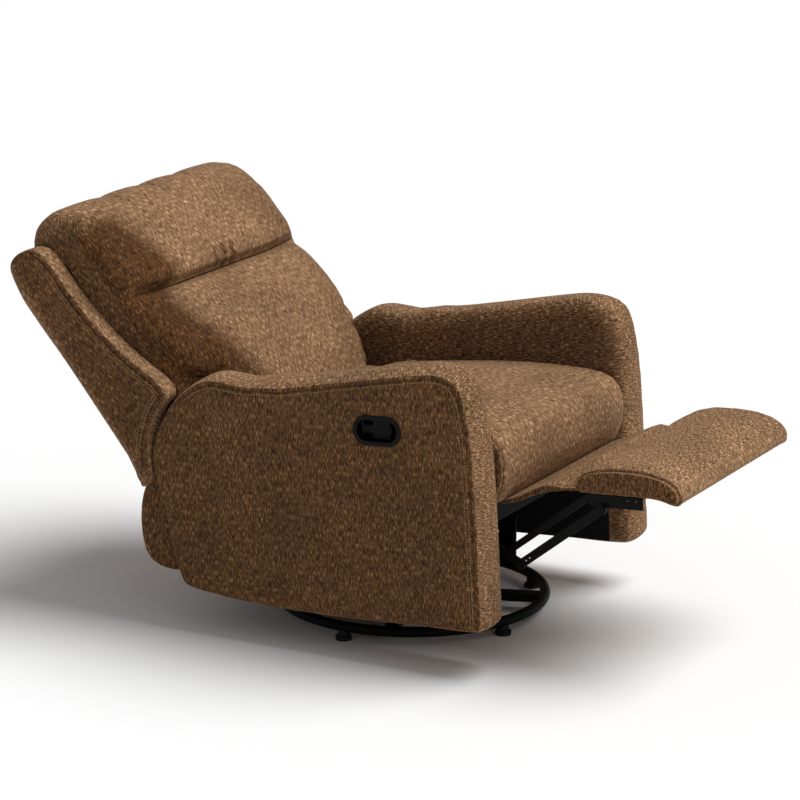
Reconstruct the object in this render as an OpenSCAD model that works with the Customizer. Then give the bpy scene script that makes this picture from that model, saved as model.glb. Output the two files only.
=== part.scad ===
// Swivel glider recliner, shown reclined with its footrest out.
// X runs across the chair, the sitter faces -Y, Z is up, and the origin lies on
// the floor under the middle of the base ring. All lengths are millimetres.
// Profiles are lists of [y, z] in the frame of the tilted seat body, and the
// back's profiles are lists of [forward, up] measured from the recline pivot.

/* [Overall] */
// Width across both arms
overall_w = 800; // [760:5:840]
// Backward tilt of the whole seat body at the rear glide stop, degrees
body_tilt = 3; // [2:0.5:4]
// Lean of the back from upright, measured in the seat body, degrees
recline_lean = 35; // [30:1:38]

/* [Arms] */
// Width of one padded arm
arm_w = 107; // [95:1:115]
// Length of an arm from front to rear
arm_len = 745; // [735:1:760]
// Height of an arm from its lower edge to the crest at the front
arm_h = 517; // [505:1:535]
// Height of the arm's lower edge above the floor
arm_bottom_z = 88; // [80:1:96]
// Radius of the padded edges
arm_edge = 12; // [8:1:16]

/* [Seat] */
// Height of the cushion's underside
seat_bottom_z = 320; // [319.5:0.5:324]
// Thickness of the seat cushion at its crest
seat_thick = 157; // [145:1:165]
// Extra crown in the middle of the seat cushion
seat_crown = 7; // [3:1:10]
// Radius of the seat cushion's side edges
seat_edge = 26; // [18:1:30]

/* [Back] */
// Height of the recline pivot in the seat body
pivot_z = 374; // [370:1:378]
// Length from the recline pivot to the top of the head pillow
back_reach = 671; // [650:1:690]
// Gap between the lumbar cushion's side and the wing
wing_gap = 11; // [9:1:22]
// Depth of the wings behind the recline pivot
wing_depth = 219; // [212:1:225]
// Height of the wings above the recline pivot
wing_reach = 637; // [620:1:650]
// Thickness of one wing
wing_w = 48; // [40:1:52]
// Radius of the wings' padded edges
wing_edge = 9; // [6:1:12]

/* [Footrest] */
// Length of the footrest pad, front to rear
pad_len = 227; // [215:1:232]
// Thickness of the footrest pad
pad_thick = 51; // [45:1:55]
// Distance from the footrest pad's side to the arm's inner face, across the chair
pad_side_gap = 15; // [13:1:25]
// Length of the bracket strip under the board
bracket_len = 120; // [110:1:130]

/* [Base] */
// Radius of the base ring to the middle of its tube
ring_r = 282.7; // [270:1:295]
// Diameter of the ring's tube
ring_tube_d = 22; // [20:1:25]
// Number of glide feet
foot_n = 5; // [4:1:6]
// Diameter of a glide foot
foot_d = 34; // [28:1:38]
// Height of the ring's middle above the floor
ring_z = 28; // [26:1:30]

/* [Glider] */
// Distance between the upper pivots of the swing links
hang_upper = 250; // [246:1:254]
// Distance between the lower pivots of the swing links
hang_lower = 210; // [206:1:214]
// Height of the upper pivots
hang_z = 250; // [246:1:254]
// Length of the front swing links between their pivots
swing_len = 128; // [122:1:132]
// Angle of the front swing links from the vertical at the rear stop, degrees
swing_rest_angle = 24.65; // [22:0.05:26]

/* [Steelwork] */
// Thickness of the mechanism's plates and links
plate_t = 4; // [3:0.5:5]
// Gap between neighbouring layers of the mechanism
layer_gap = 2; // [1.8:0.1:2.4]
// Width of the footrest links
link_w = 20; // [18:1:22]
// Diameter of the pivot studs
stud_d = 10; // [8:1:11]
// Outer size of the square rails
rail_size = 26; // [24:1:28]

/* [Release] */
// Length of the oval bezel
bezel_len = 108; // [100:1:116]
// Height of the oval bezel
bezel_h = 61; // [56:1:66]
// Depth of the bezel's cup
cup_depth = 26; // [22:1:30]

/* [Hidden] */
// Overrun of the cuts, and general clearances
cut = 1;
seat_gap = 0.3;
run_fit = 0.05;
open_fit = 0.3;
glide_open_fit = 1.1;
$fn = 48;

// Across the chair, from the arm inwards
arm_in_x = overall_w / 2 - arm_w;
lining_t = 1.5;
mechanism_gap = 9.5;
pitch = plate_t + layer_gap;
long_x = arm_in_x - lining_t - mechanism_gap - plate_t;
lift_x = long_x - pitch;
upper_x = lift_x - pitch;
control_x = upper_x - pitch;
side_plate_x = control_x - pitch;
seat_rail_w = 24;
seat_rail_x = side_plate_x - seat_rail_w;
hanger_x = seat_rail_x - plate_t;
swing_x = hanger_x - pitch;
glider_bracket_x = swing_x - pitch;

// Recline pivot, and the lines of the back
pivot_y = 180;
pivot = [pivot_y, pivot_z];
back_forward = [-cos(recline_lean), sin(recline_lean)];
back_up = [sin(recline_lean), cos(recline_lean)];
arm_arc_r = 192;
wing_over_arm = 20;
wing_arc_r = arm_arc_r + wing_over_arm;
wing_in_x = overall_w / 2 - layer_gap - wing_w;
lumbar_half_w = wing_in_x - wing_gap;
arc_top_angle = 74;
hollow_top_angle = 97;
nose_r = 80;
hollow_gap = 3;
hollow_r = nose_r + hollow_gap;
cushion_rear = 62;
upper_rear = 102;
frame_rear = 188;
panel_t = 12;
back_rail_h = 40;
rail_inset = 0.5;
upright_t = 20;

// Arms
arm_rear_over = 2;
arm_front_y = pivot_y + arm_arc_r + arm_rear_over - arm_len;

// Seat body
rail_z = 236;
seat_box_t = 22;
seat_box_z = rail_z + rail_size;
spring_room = 4;
seat_box_top = seat_bottom_z - spring_room;
seat_box_front = -316;
seat_box_rear = 90;
seat_rail_front = -300;
seat_rail_rear = 232;
arm_rail_y = 7;
seat_overhang = 11;
seat_front_y = arm_front_y - seat_overhang;
spring_n = 5;
spring_wire_d = 3.6;
spring_wave_n = 12;
spring_wave_w = 44;
rear_rail_y = 299.5;
rear_rail_z = 150;
rear_rail_h = 48;

// Footrest pivots in the seat body
lift_pivot = [-213, 303];
elbow = [-406, 200];
knee = [-590, 330];
link_split = 40;
control_back_share = 0.25;
drive_tube_d = 18;
drive_tube_wall = 2;
lift_line = (lift_pivot - elbow) / norm(lift_pivot - elbow);
lift_tie = elbow + link_split * lift_line;
board_tie = knee + link_split * lift_line;
control_tie = lift_tie - control_back_share * (knee - elbow);
control_pivot = control_tie + lift_pivot - lift_tie;

// Footrest board
pad_bottom_z = 358;
pad_front_y = -757;
pad_half_w = arm_in_x - pad_side_gap;
board_t = 12;
board_inset = 14;
bracket_front_y = -678;
bracket_h = 24;
bracket_hole_shares = [0.6, 1.35];
link_hole_shares = [0.075, 0.12];
flange_t = 3;
flange_w = 24;
flange_back = 65;

// Swing link pivots
hang_front = [-hang_upper / 2, hang_z];
hang_rear = [hang_upper / 2, hang_z];
low_front = hang_front + swing_len * [sin(swing_rest_angle), -cos(swing_rest_angle)];
low_rear = low_front + hang_lower * [cos(body_tilt), -sin(body_tilt)];
swing_w = 26;

// Base and carriage
bar_w = 28;
bar_h = 18;
bar_angle = 19;
race_r = 60;
race_t = 12;
swivel_pin_d = 16;
swivel_plate_t = 6;
swivel_plate_size = 240;
carriage_rail_y = 92;
foot_first_angle = 34;
foot_saddle_gap = 0.15;
race_z = ring_z + bar_h / 2;
swivel_plate_z = race_z + 2 * race_t + seat_gap;
carriage_z = swivel_plate_z + swivel_plate_t;
bracket_base_h = 30;

// Release handle
lever_centre = [-160, 485];
bezel_lip = 3;
bezel_rim = 6;
cup_wall = 2.5;
lever_back = 38;
lever_in = 12;
lever_t = 4;
lever_len = 66;
lever_grip_h = 38;
lever_neck_h = 16;
lever_barrel_d = 8;
lever_pin_d = 5;

stud_head_t = 1.4;
stud_head_over = 3;
shank_share = 0.84;

// Arm outline as shares of its length and height, from the front lower corner
arm_bottom_shares = [
    [0.006, 0], [0.2, 0], [0.427, 0], [0.664, 0.012], [0.824, 0.037], [0.9, 0.056]
];
arm_rear_shares = [
    [0.915, 0.072], [0.937, 0.162], [0.953, 0.286], [0.974, 0.408], [0.99, 0.5]
];
arm_top_shares = [
    [0.752, 0.905], [0.712, 0.898], [0.672, 0.897], [0.577, 0.903], [0.483, 0.924], [0.358, 0.952],
    [0.236, 0.98], [0.15, 0.997], [0.095, 1], [0.062, 0.985], [0.04, 0.955], [0.027, 0.915],
    [0.018, 0.855], [0.009, 0.76], [0.003, 0.607], [0.001, 0.45], [0, 0.29], [0, 0.13], [0, 0.02]
];

// Seat cushion outline as shares of its depth to the pivot and its thickness
seat_top_shares = [
    [0.93, 0.88], [0.842, 0.905], [0.73, 0.938], [0.621, 0.964], [0.51, 0.988], [0.406, 1], [0.278, 0.996],
    [0.151, 0.97], [0.085, 0.935], [0.045, 0.875], [0.018, 0.77], [0.003, 0.63], [0, 0.5],
    [0.005, 0.34], [0.02, 0.16], [0.04, 0.03]
];

// Footrest pad outline as shares of its length and thickness
pad_outline_shares = [
    [0.045, -0.2], [0.11, -0.13], [0.19, -0.04], [0.3, 0.01], [0.6, 0.01], [0.85, 0.01], [0.97, 0.03], [1, 0.22],
    [0.985, 0.45], [0.95, 0.63], [0.88, 0.8], [0.79, 0.91], [0.67, 0.985], [0.54, 1], [0.41, 1], [0.28, 0.94],
    [0.14, 0.78], [0.05, 0.54], [0.008, 0.28], [0, 0.06], [0.013, -0.12]
];

// Lumbar cushion stations: up, half width, forward and rearward face. Up is a share of the
// back's reach and the faces are of the nose radius. The half width is a share of the side
// plates' place for the nose, of the arms' for the low part, and of the cushion's own above
lumbar_nose_shares = [
    [-0.045, 0.83, 0.5, 0.5], [-0.03, 0.935, 0.77, 0.7], [0, 0.975, 0.94, 0.775], [0.037, 0.985, 0.93, 0.775],
    [0.074, 0.985, 0.76, 0.775], [0.104, 0.985, 0.47, 0.775], [0.125, 0.99, 0.14, 0.775]
];
lumbar_low_shares = [
    [0.143, 0.943, 0.21, 0.775], [0.165, 0.972, 0.26, 0.775], [0.22, 0.975, 0.35, 0.775], [0.3, 0.975, 0.37, 0.775]
];
lumbar_high_shares = [
    [0.331, 0.91, 0.385, 0.8], [0.362, 0.98, 0.39, 1.27],
    [0.41, 1, 0.39, 1.275], [0.468, 1, 0.36, 1.275], [0.514, 1, 0.29, 1.275], [0.562, 0.997, 0.19, 1.275],
    [0.599, 0.99, 0.075, 1.25], [0.617, 0.973, -0.075, 1.2], [0.622, 0.95, -0.18, 1.1]
];

// Head pillow stations in the same shares
pillow_station_shares = [
    [0.6225, 0.95, -0.18, 1.12], [0.632, 0.985, -0.03, 1.22], [0.65, 1.01, 0.05, 1.275], [0.686, 1.02, 0.1, 1.275],
    [0.735, 1.023, 0.115, 1.275], [0.794, 1.023, 0.1, 1.275], [0.835, 1.02, 0.04, 1.275],
    [0.852, 1.02, 0, 1.285], [0.856, 1.02, 0, 2.32], [0.891, 1.017, -0.075, 2.33], [0.93, 1.01, -0.22, 2.3],
    [0.961, 0.997, -0.42, 2.2], [0.984, 0.973, -0.7, 2.0], [0.996, 0.938, -0.95, 1.72], [1, 0.885, -1.12, 1.5]
];

// Wing outline, rear edge then over the top and down the front, as shares of its depth and reach
wing_outline_shares = [
    [-0.982, 0.151], [-0.96, 0.196], [-0.958, 0.29], [-0.963, 0.411], [-0.968, 0.529], [-0.977, 0.648],
    [-0.993, 0.758], [-1, 0.87], [-0.982, 0.923], [-0.955, 0.97], [-0.913, 0.992], [-0.84, 1],
    [-0.7, 0.995], [-0.58, 0.978], [-0.52, 0.942], [-0.498, 0.889], [-0.488, 0.8], [-0.466, 0.717],
    [-0.416, 0.617], [-0.347, 0.526], [-0.26, 0.441], [-0.192, 0.378]
];

// Rear skirt and footrest flap, as steps along their own reach
skirt_top = in_back([-frame_rear - panel_t / 2, back_reach * 0.1448]);
skirt_bottom = [rear_rail_y + seat_box_t + seat_gap, rear_rail_z];
skirt_shares = [
    [0, 1], [0.01, 0.89], [-0.08, 0.7], [0, 0.51], [0.035, 0.37], [-0.03, 0.23], [-0.17, 0.12], [-0.5, 0.05], [-1, 0]
];
skirt_t = 5;
skirt_half_w = 380;
flap_back = 32;
flap_seat = [seat_front_y + flap_back, seat_bottom_z - spring_room - layer_gap];
flap_board = [-527, 351];
flap_low_shares = [[0, 0], [0.22, 0.22], [0.45, 0.64], [0.68, 0.9], [0.9, 0.99], [1, 1]];
flap_high_shares = [
    [1.0145, 1.49], [1.05, 2.06], [1.11, 2.4], [1.08, 2.42], [0.96, 2.27], [0.76, 1.86], [0.54, 1.25], [0.28, 0.6], [0, 0.14]
];
flap_half_w = control_x - 2 * layer_gap;
panel_station_shares = [
    [0.15, 0.97, 0.2], [0.17, 0.995, 0.1], [0.25, 1, 0.02], [0.5, 1, 0], [0.75, 1, 0], [0.85, 0.99, 0.05], [0.88, 0.96, 0.2]
];

function shared(origin, size, shares) = [for (s = shares) origin + [size[0] * s[0], size[1] * s[1]]];
function arc(centre, r, from, to, n) =
    [for (i = [0 : n]) centre + r * [cos(from + (to - from) * i / n), sin(from + (to - from) * i / n)]];
function in_back(p) = pivot + p[0] * back_forward + p[1] * back_up;
function in_body(p) = [
    p[0] * cos(body_tilt) - p[1] * sin(body_tilt),
    p[0] * sin(body_tilt) + p[1] * cos(body_tilt)
];
function turn(v) = v / norm(v);
function normal_at(p, i) =
    let (n = len(p), t = turn(p[(i + 1) % n] - p[(i + n - 1) % n])) [t[1], -t[0]];
function drawn_in(p, d) = [for (i = [0 : len(p) - 1]) p[i] - d * normal_at(p, i)];
function power(v, e) = sign(v) * pow(abs(v), e);
function mean(p) = [for (k = [0 : 2]) [for (q = p) q[k]] * [for (q = p) 1] / len(p)];

// A closed skin through a row of loops that have the same number of points
module skin(loops) {
    n = len(loops[0]);
    m = len(loops);
    points = concat([for (l = loops) each l], [mean(loops[0]), mean(loops[m - 1])]);
    sides = [for (i = [0 : m - 2], j = [0 : n - 1])
        let (k = (j + 1) % n, a = i * n + j, b = i * n + k, c = (i + 1) * n + k, d = (i + 1) * n + j)
        each [[a, c, b], [a, d, c]]];
    first = [for (j = [0 : n - 1]) [m * n, j, (j + 1) % n]];
    last = [for (j = [0 : n - 1]) [m * n + 1, (m - 1) * n + (j + 1) % n, (m - 1) * n + j]];
    polyhedron(points, concat(sides, first, last), convexity = 6);
}

// A padded slab: an outline carried across X with rounded edges
module padded_slab(outline, from_x, to_x, edge) {
    steps = [0, 30, 60, 90];
    near = [for (a = steps) [from_x + edge * (1 - cos(a)), edge * (1 - sin(a))]];
    far = [for (k = [len(steps) - 1 : -1 : 0])
        [to_x - edge * (1 - cos(steps[k])), edge * (1 - sin(steps[k]))]];
    skin([for (s = concat(near, far)) [for (q = drawn_in(outline, s[1])) [s[0], q[0], q[1]]]]);
}

// A stuffed form: rounded sections stacked up the back, each [up, half width, forward, rearward]
module stuffed(stations, n, squareness) {
    skin([for (s = stations)
        let (middle = (s[2] - s[3]) / 2, half = (s[2] + s[3]) / 2)
        [for (j = [0 : n - 1])
            let (a = -360 * (j + 0.5) / n, p = in_back([middle + half * power(sin(a), squareness), s[0]]))
            [s[1] * power(cos(a), squareness / 2), p[0], p[1]]]]);
}

module body_frame() rotate([-body_tilt, 0, 0]) children();
module sideways(x, t) translate([x, 0, 0]) rotate([90, 0, 90]) linear_extrude(t) children();
module at(p) translate([p[0], p[1], 0]) children();
module right_side() mirror([1, 0, 0]) children();

// A flat bar with round eyes at its ends and a shank a little narrower than the eyes
module bar(p, q, w) {
    d = q - p;
    shank = w * shank_share;
    at(p) circle(d = w);
    at(q) circle(d = w);
    at(p) rotate(atan2(d[1], d[0])) translate([0, -shank / 2, 0]) square([norm(d), shank]);
}

// A headed stud from a plate's face at x, reaching over one link in the direction of side
module stud(p, x, side, d = stud_d) {
    reach = layer_gap + plate_t + seat_gap;
    translate([x, p[0], p[1]]) rotate([0, 90 * side, 0]) {
        cylinder(h = reach, d = d);
        translate([0, 0, reach]) cylinder(h = stud_head_t, d = d + 2 * stud_head_over);
    }
}

module bore(p, x, d) translate([x - cut, p[0], p[1]]) rotate([0, 90, 0]) cylinder(h = plate_t + 2 * cut, d = d);

// Base: ring, crossed bars, feet, lower race and pin

module base_ring() color("dimgray") {
    translate([0, 0, ring_z]) rotate_extrude($fn = 96) translate([ring_r, 0, 0]) circle(d = ring_tube_d);
    difference() {
        for (a = [bar_angle, bar_angle + 90])
            translate([0, 0, ring_z]) rotate(a) cube([2 * ring_r, bar_w, bar_h], center = true);
        translate([0, 0, ring_z - bar_h]) cylinder(h = 2 * bar_h, d = swivel_pin_d - cut);
    }
}

module base_feet() color("black") difference() {
    for (i = [0 : foot_n - 1]) rotate(foot_first_angle + 360 * i / foot_n) translate([ring_r, 0, 0]) {
        cylinder(h = ring_z - ring_tube_d / 4, d = foot_d * 0.7);
        cylinder(h = (ring_z - ring_tube_d / 2) / 2, d = foot_d);
    }
    translate([0, 0, ring_z]) rotate_extrude($fn = 96)
        translate([ring_r, 0, 0]) circle(d = ring_tube_d + 2 * foot_saddle_gap);
    for (a = [bar_angle, bar_angle + 90])
        translate([0, 0, ring_z]) rotate(a) cube([2 * ring_r, bar_w, bar_h] + [0, 2 * seat_gap, 2 * seat_gap], center = true);
}

module swivel_race_lower() color("gray") translate([0, 0, race_z]) difference() {
    cylinder(h = race_t, r = race_r);
    translate([0, 0, -cut]) cylinder(h = race_t + 2 * cut, d = swivel_pin_d);
}

module swivel_pin() color("silver") translate([0, 0, race_z])
    cylinder(h = 2 * race_t + seat_gap + swivel_plate_t + layer_gap, d = swivel_pin_d);

// Swivel carriage: upper race, plate, rails and the brackets that carry the swing links

module swivel_race_upper() color("gray") translate([0, 0, race_z + race_t + seat_gap]) difference() {
    cylinder(h = race_t, r = race_r);
    translate([0, 0, -cut]) cylinder(h = race_t + 2 * cut, d = swivel_pin_d + 2 * run_fit);
}

module swivel_plate() color("dimgray") translate([0, 0, swivel_plate_z]) difference() {
    translate([-swivel_plate_size / 2, -swivel_plate_size / 2, 0])
        cube([swivel_plate_size, swivel_plate_size, swivel_plate_t]);
    translate([0, 0, -cut]) cylinder(h = swivel_plate_t + 2 * cut, d = swivel_pin_d + 2 * run_fit);
    for (a = [0 : 90 : 270]) rotate(a + 45) translate([race_r * 1.5, 0, -cut])
        cylinder(h = swivel_plate_t + 2 * cut, d = swivel_pin_d);
}

module square_tube_x(half, y, z) difference() {
    translate([-half, y, z]) cube([2 * half, rail_size, rail_size]);
    translate([-half - cut, y + plate_t / 2, z + plate_t / 2])
        cube([2 * (half + cut), rail_size - plate_t, rail_size - plate_t]);
}

module carriage_rails() color("dimgray") {
    square_tube_x(glider_bracket_x, carriage_rail_y, carriage_z);
    square_tube_x(glider_bracket_x, -carriage_rail_y - rail_size, carriage_z);
}

module glider_bracket() {
    sideways(glider_bracket_x, plate_t) {
        polygon([
            [-hang_upper / 2 - swing_w / 2, carriage_z], [hang_upper / 2 + swing_w / 2, carriage_z],
            hang_rear + [swing_w / 2, 0], hang_rear - [swing_w / 2, 0],
            [hang_upper / 2 - swing_w * 1.2, carriage_z + bracket_base_h],
            [-hang_upper / 2 + swing_w * 1.2, carriage_z + bracket_base_h],
            hang_front + [swing_w / 2, 0], hang_front - [swing_w / 2, 0]
        ]);
        for (p = [hang_front, hang_rear]) at(p) circle(d = swing_w);
    }
    for (p = [hang_front, hang_rear]) stud(p, glider_bracket_x + plate_t, 1);
}

module glider_bracket_left() color("dimgray") glider_bracket();
module glider_bracket_right() color("dimgray") right_side() glider_bracket();

// Swing links

module swing_link(top, low, low_fit) difference() {
    sideways(swing_x, plate_t) bar(top, low, swing_w);
    bore(top, swing_x, stud_d + 2 * run_fit);
    bore(low, swing_x, stud_d + 2 * low_fit);
}

module front_swing_link_left() color("silver") swing_link(hang_front, low_front, run_fit);
module front_swing_link_right() color("silver") right_side() swing_link(hang_front, low_front, run_fit);
module rear_swing_link_left() color("silver") swing_link(hang_rear, low_rear, glide_open_fit);
module rear_swing_link_right() color("silver") right_side() swing_link(hang_rear, low_rear, glide_open_fit);

// Seat body steelwork

module hanger() {
    low_f = in_body(low_front);
    low_r = in_body(low_rear);
    sideways(hanger_x, plate_t) {
        for (p = [low_f, low_r]) at(p) circle(d = swing_w);
        polygon([
            low_f - [swing_w / 2, 0], low_f + [swing_w / 2, 0],
            [low_f[0] + swing_w, rail_z], [low_r[0] - swing_w, rail_z],
            low_r - [swing_w / 2, 0], low_r + [swing_w / 2, 0],
            [low_r[0] + swing_w, rail_z], [low_r[0] + swing_w, rail_z + rail_size],
            [low_f[0] - swing_w, rail_z + rail_size], [low_f[0] - swing_w, rail_z]
        ]);
    }
    for (p = [low_f, low_r]) stud(p, hanger_x, -1);
}

module hanger_left() color("dimgray") body_frame() hanger();
module hanger_right() color("dimgray") body_frame() right_side() hanger();

module side_plate() {
    difference() {
        sideways(side_plate_x, plate_t) {
            polygon([
                [seat_rail_front, rail_z], [pivot_y - rail_size, rail_z], [pivot_y + nose_r / 2, rail_z + rail_size],
                pivot + [nose_r / 4, 0], pivot - [nose_r / 4, 0],
                [pivot_y - nose_r * 0.8, rail_z + rail_size], [seat_rail_front, rail_z + rail_size]
            ]);
            at(pivot) circle(d = nose_r / 2);
            bar([lift_pivot[0], rail_z + rail_size / 2], lift_pivot, drive_tube_d * 1.5);
            bar([control_pivot[0], rail_z + rail_size / 2], control_pivot, link_w * 1.2);
        }
        bore(lift_pivot, side_plate_x, drive_tube_d + 2 * run_fit);
    }
    stud(control_pivot, side_plate_x + plate_t, 1);
    stud(pivot, side_plate_x + plate_t, 1, stud_d * 1.6);
}

module side_plate_left() color("dimgray") body_frame() side_plate();
module side_plate_right() color("dimgray") body_frame() right_side() side_plate();

module seat_rail() difference() {
    translate([seat_rail_x, seat_rail_front, rail_z])
        cube([seat_rail_w, seat_rail_rear - seat_rail_front, rail_size]);
    translate([seat_rail_x + plate_t / 2, seat_rail_front - cut, rail_z + plate_t / 2])
        cube([seat_rail_w - plate_t, seat_rail_rear - seat_rail_front + 2 * cut, rail_size - plate_t]);
}

module seat_rail_left() color("dimgray") body_frame() seat_rail();
module seat_rail_right() color("dimgray") body_frame() right_side() seat_rail();

module frame_cross_tube() color("dimgray") body_frame()
    square_tube_x(seat_rail_x, seat_rail_front + rail_size, rail_z);

module arm_rail_front() color("dimgray") body_frame()
    square_tube_x(arm_in_x - lining_t, arm_rail_y, rail_z - rail_size);
module arm_rail_rear() color("dimgray") body_frame()
    square_tube_x(arm_in_x - lining_t, seat_rail_rear - rail_size, rail_z - rail_size);

module seat_box() color("burlywood") body_frame() difference() {
    translate([-side_plate_x, seat_box_front, seat_box_z])
        cube([2 * side_plate_x, seat_box_rear - seat_box_front, seat_box_top - seat_box_z]);
    translate([-side_plate_x + seat_box_t, seat_box_front + seat_box_t, seat_box_z - cut])
        cube([
            2 * (side_plate_x - seat_box_t), seat_box_rear - seat_box_front - 2 * seat_box_t,
            seat_box_top - seat_box_z + 2 * cut
        ]);
    translate([-side_plate_x - cut, lift_pivot[0], lift_pivot[1]]) rotate([0, 90, 0])
        cylinder(h = 2 * (side_plate_x + cut), d = drive_tube_d + layer_gap);
}

// Sinuous springs: each wire runs to and fro on its way from the front rail to the rear rail
function wire_side(path, d) = [for (i = [0 : len(path) - 1])
    let (
        before = turn(path[max(i, 1)] - path[max(i, 1) - 1]),
        after = turn(path[min(i, len(path) - 2) + 1] - path[min(i, len(path) - 2)])
    ) path[i] + d * [-before[1] - after[1], before[0] + after[0]] / (1 + before * after)];

module seat_springs() color("silver") body_frame() {
    run = seat_box_rear - seat_box_front - seat_box_t;
    spacing = 2 * (side_plate_x - seat_box_t) / spring_n;
    for (s = [0 : spring_n - 1]) {
        x = (s - (spring_n - 1) / 2) * spacing;
        path = [for (i = [0 : spring_wave_n])
            let (y = seat_box_front + seat_box_t / 2 + run * i / spring_wave_n, side = i % 2 == 0 ? 1 : -1)
            each [[x - side * spring_wave_w / 2, y], [x + side * spring_wave_w / 2, y]]];
        near = wire_side(path, spring_wire_d / 2);
        far = wire_side(path, -spring_wire_d / 2);
        translate([0, 0, seat_box_top]) linear_extrude(spring_wire_d)
            polygon(concat(near, [for (k = [len(far) - 1 : -1 : 0]) far[k]]));
    }
}

// Seat cushion: hollowed at the rear so that the back's round lower end can turn in it
module seat_cushion() color("peru") body_frame() {
    depth = pivot_y - seat_front_y;
    outline = concat(
        [[seat_front_y + depth * 0.06, seat_bottom_z]],
        [for (k = [1 : 4]) [seat_front_y + depth * 0.06 + (pivot_y - hollow_r - seat_front_y - depth * 0.06) * k / 4, seat_bottom_z]],
        arc(pivot, hollow_r, 180, hollow_top_angle, 5),
        shared([seat_front_y, seat_bottom_z], [depth, seat_thick], seat_top_shares)
    );
    half = arm_in_x - layer_gap;
    steps = [0, 30, 60, 90];
    ends = [for (a = steps) [half - seat_edge * (1 - cos(a)), seat_edge * (1 - sin(a))]];
    inner = [for (k = [3 : -1 : 1]) [(half - seat_edge) * k / 4, 0]];
    right = [for (e = ends) [-e[0], e[1]]];
    left = [for (k = [len(ends) - 1 : -1 : 0]) ends[k]];
    stations = concat(right, [for (e = inner) [-e[0], 0]], [[0, 0]], [for (k = [2 : -1 : 0]) inner[k]], left);
    skin([for (s = stations) [for (q = drawn_in(outline, s[1]))
        let (rise = seat_crown * (1 - pow(s[0] / half, 2)) * max(0, q[1] - seat_bottom_z) / seat_thick)
        [s[0], q[0], q[1] + rise]]]);
}

// Arms

function arm_outline() = concat(
    shared([arm_front_y, arm_bottom_z], [arm_len, arm_h], arm_bottom_shares),
    shared([arm_front_y, arm_bottom_z], [arm_len, arm_h], arm_rear_shares),
    arc(pivot, arm_arc_r, 3, arc_top_angle, 7),
    shared([arm_front_y, arm_bottom_z], [arm_len, arm_h], arm_top_shares)
);

module arm() padded_slab(arm_outline(), arm_in_x, overall_w / 2, arm_edge);

module oval(len, h) {
    square([len - h, h], center = true);
    for (side = [-1, 1]) translate([side * (len - h) / 2, 0, 0]) circle(d = h);
}

module arm_left() color("peru") body_frame() arm();
module arm_right() color("peru") body_frame() difference() {
    right_side() arm();
    sideways(-overall_w / 2 - cut, cup_depth + cut + seat_gap) at(lever_centre)
        oval(bezel_len - 2 * bezel_rim + 2 * seat_gap, bezel_h - 2 * bezel_rim + 2 * seat_gap);
}

// Black lining on the inner face of each arm, below the cushion
module arm_lining() {
    front = arm_front_y + arm_len * 0.055;
    sideways(arm_in_x - lining_t, lining_t) polygon([
        [front, arm_bottom_z + lining_t], [arm_front_y + arm_len * 0.6, arm_bottom_z + lining_t],
        [arm_front_y + arm_len * 0.86, arm_bottom_z + arm_edge + arm_h * 0.05],
        [arm_front_y + arm_len * 0.9, seat_bottom_z], [front, seat_bottom_z]
    ]);
}

module arm_lining_left() color("black") body_frame() arm_lining();
module arm_lining_right() color("black") body_frame() right_side() arm_lining();

module rear_rail() color("burlywood") body_frame()
    translate([-arm_in_x, rear_rail_y, rear_rail_z]) cube([2 * arm_in_x, seat_box_t, rear_rail_h]);

// Release: oval cup with a lip, and a pull that swings out on a pin

module lever_bezel() color("black") body_frame() difference() {
    union() {
        sideways(-overall_w / 2 - bezel_lip, bezel_lip) at(lever_centre) oval(bezel_len, bezel_h);
        sideways(-overall_w / 2 - bezel_lip, bezel_lip + cup_depth) at(lever_centre)
            oval(bezel_len - 2 * bezel_rim, bezel_h - 2 * bezel_rim);
    }
    sideways(-overall_w / 2 - bezel_lip - cut, bezel_lip + cut + cup_depth - cup_wall) at(lever_centre)
        oval(bezel_len - 2 * (bezel_rim + cup_wall), bezel_h - 2 * (bezel_rim + cup_wall));
    translate([-overall_w / 2 + lever_in, lever_centre[0] + lever_back, lever_centre[1] - bezel_h / 2])
        cylinder(h = bezel_h, d = lever_pin_d + 2 * run_fit);
}

module lever_pull() color("black") body_frame()
    translate([-overall_w / 2 + lever_in, lever_centre[0] + lever_back, lever_centre[1]]) mirror([0, 1, 0]) {
        barrel_h = 24;
        cylinder(h = barrel_h, d = lever_barrel_d, center = true);
        cylinder(h = bezel_h * 0.57, d = lever_pin_d, center = true);
        translate([-lever_t / 2, 0, -lever_neck_h / 2]) cube([lever_t, lever_len, lever_neck_h]);
        translate([-lever_t / 2, lever_len * 0.36, 0]) rotate([90, 0, 90]) linear_extrude(lever_t)
            at([lever_len * 0.27, 0]) square([lever_len * 0.54, lever_grip_h], center = true);
        translate([0, lever_len * 0.9, -lever_grip_h / 2]) cylinder(h = lever_grip_h, d = lever_barrel_d);
    }

// Back

module back_bracket() sideways(control_x, plate_t) difference() {
    union() {
        at(pivot) circle(d = nose_r * 0.6);
        bar(pivot, in_back([-cushion_rear - upright_t, upright_t]), nose_r * 0.4);
        bar(in_back([-cushion_rear - upright_t, upright_t]), in_back([-cushion_rear - upright_t, nose_r * 1.6]), nose_r * 0.4);
    }
    at(pivot) circle(d = stud_d * 1.6 + 2 * run_fit);
}

module back_bracket_left() color("dimgray") body_frame() back_bracket();
module back_bracket_right() color("dimgray") body_frame() right_side() back_bracket();

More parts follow.
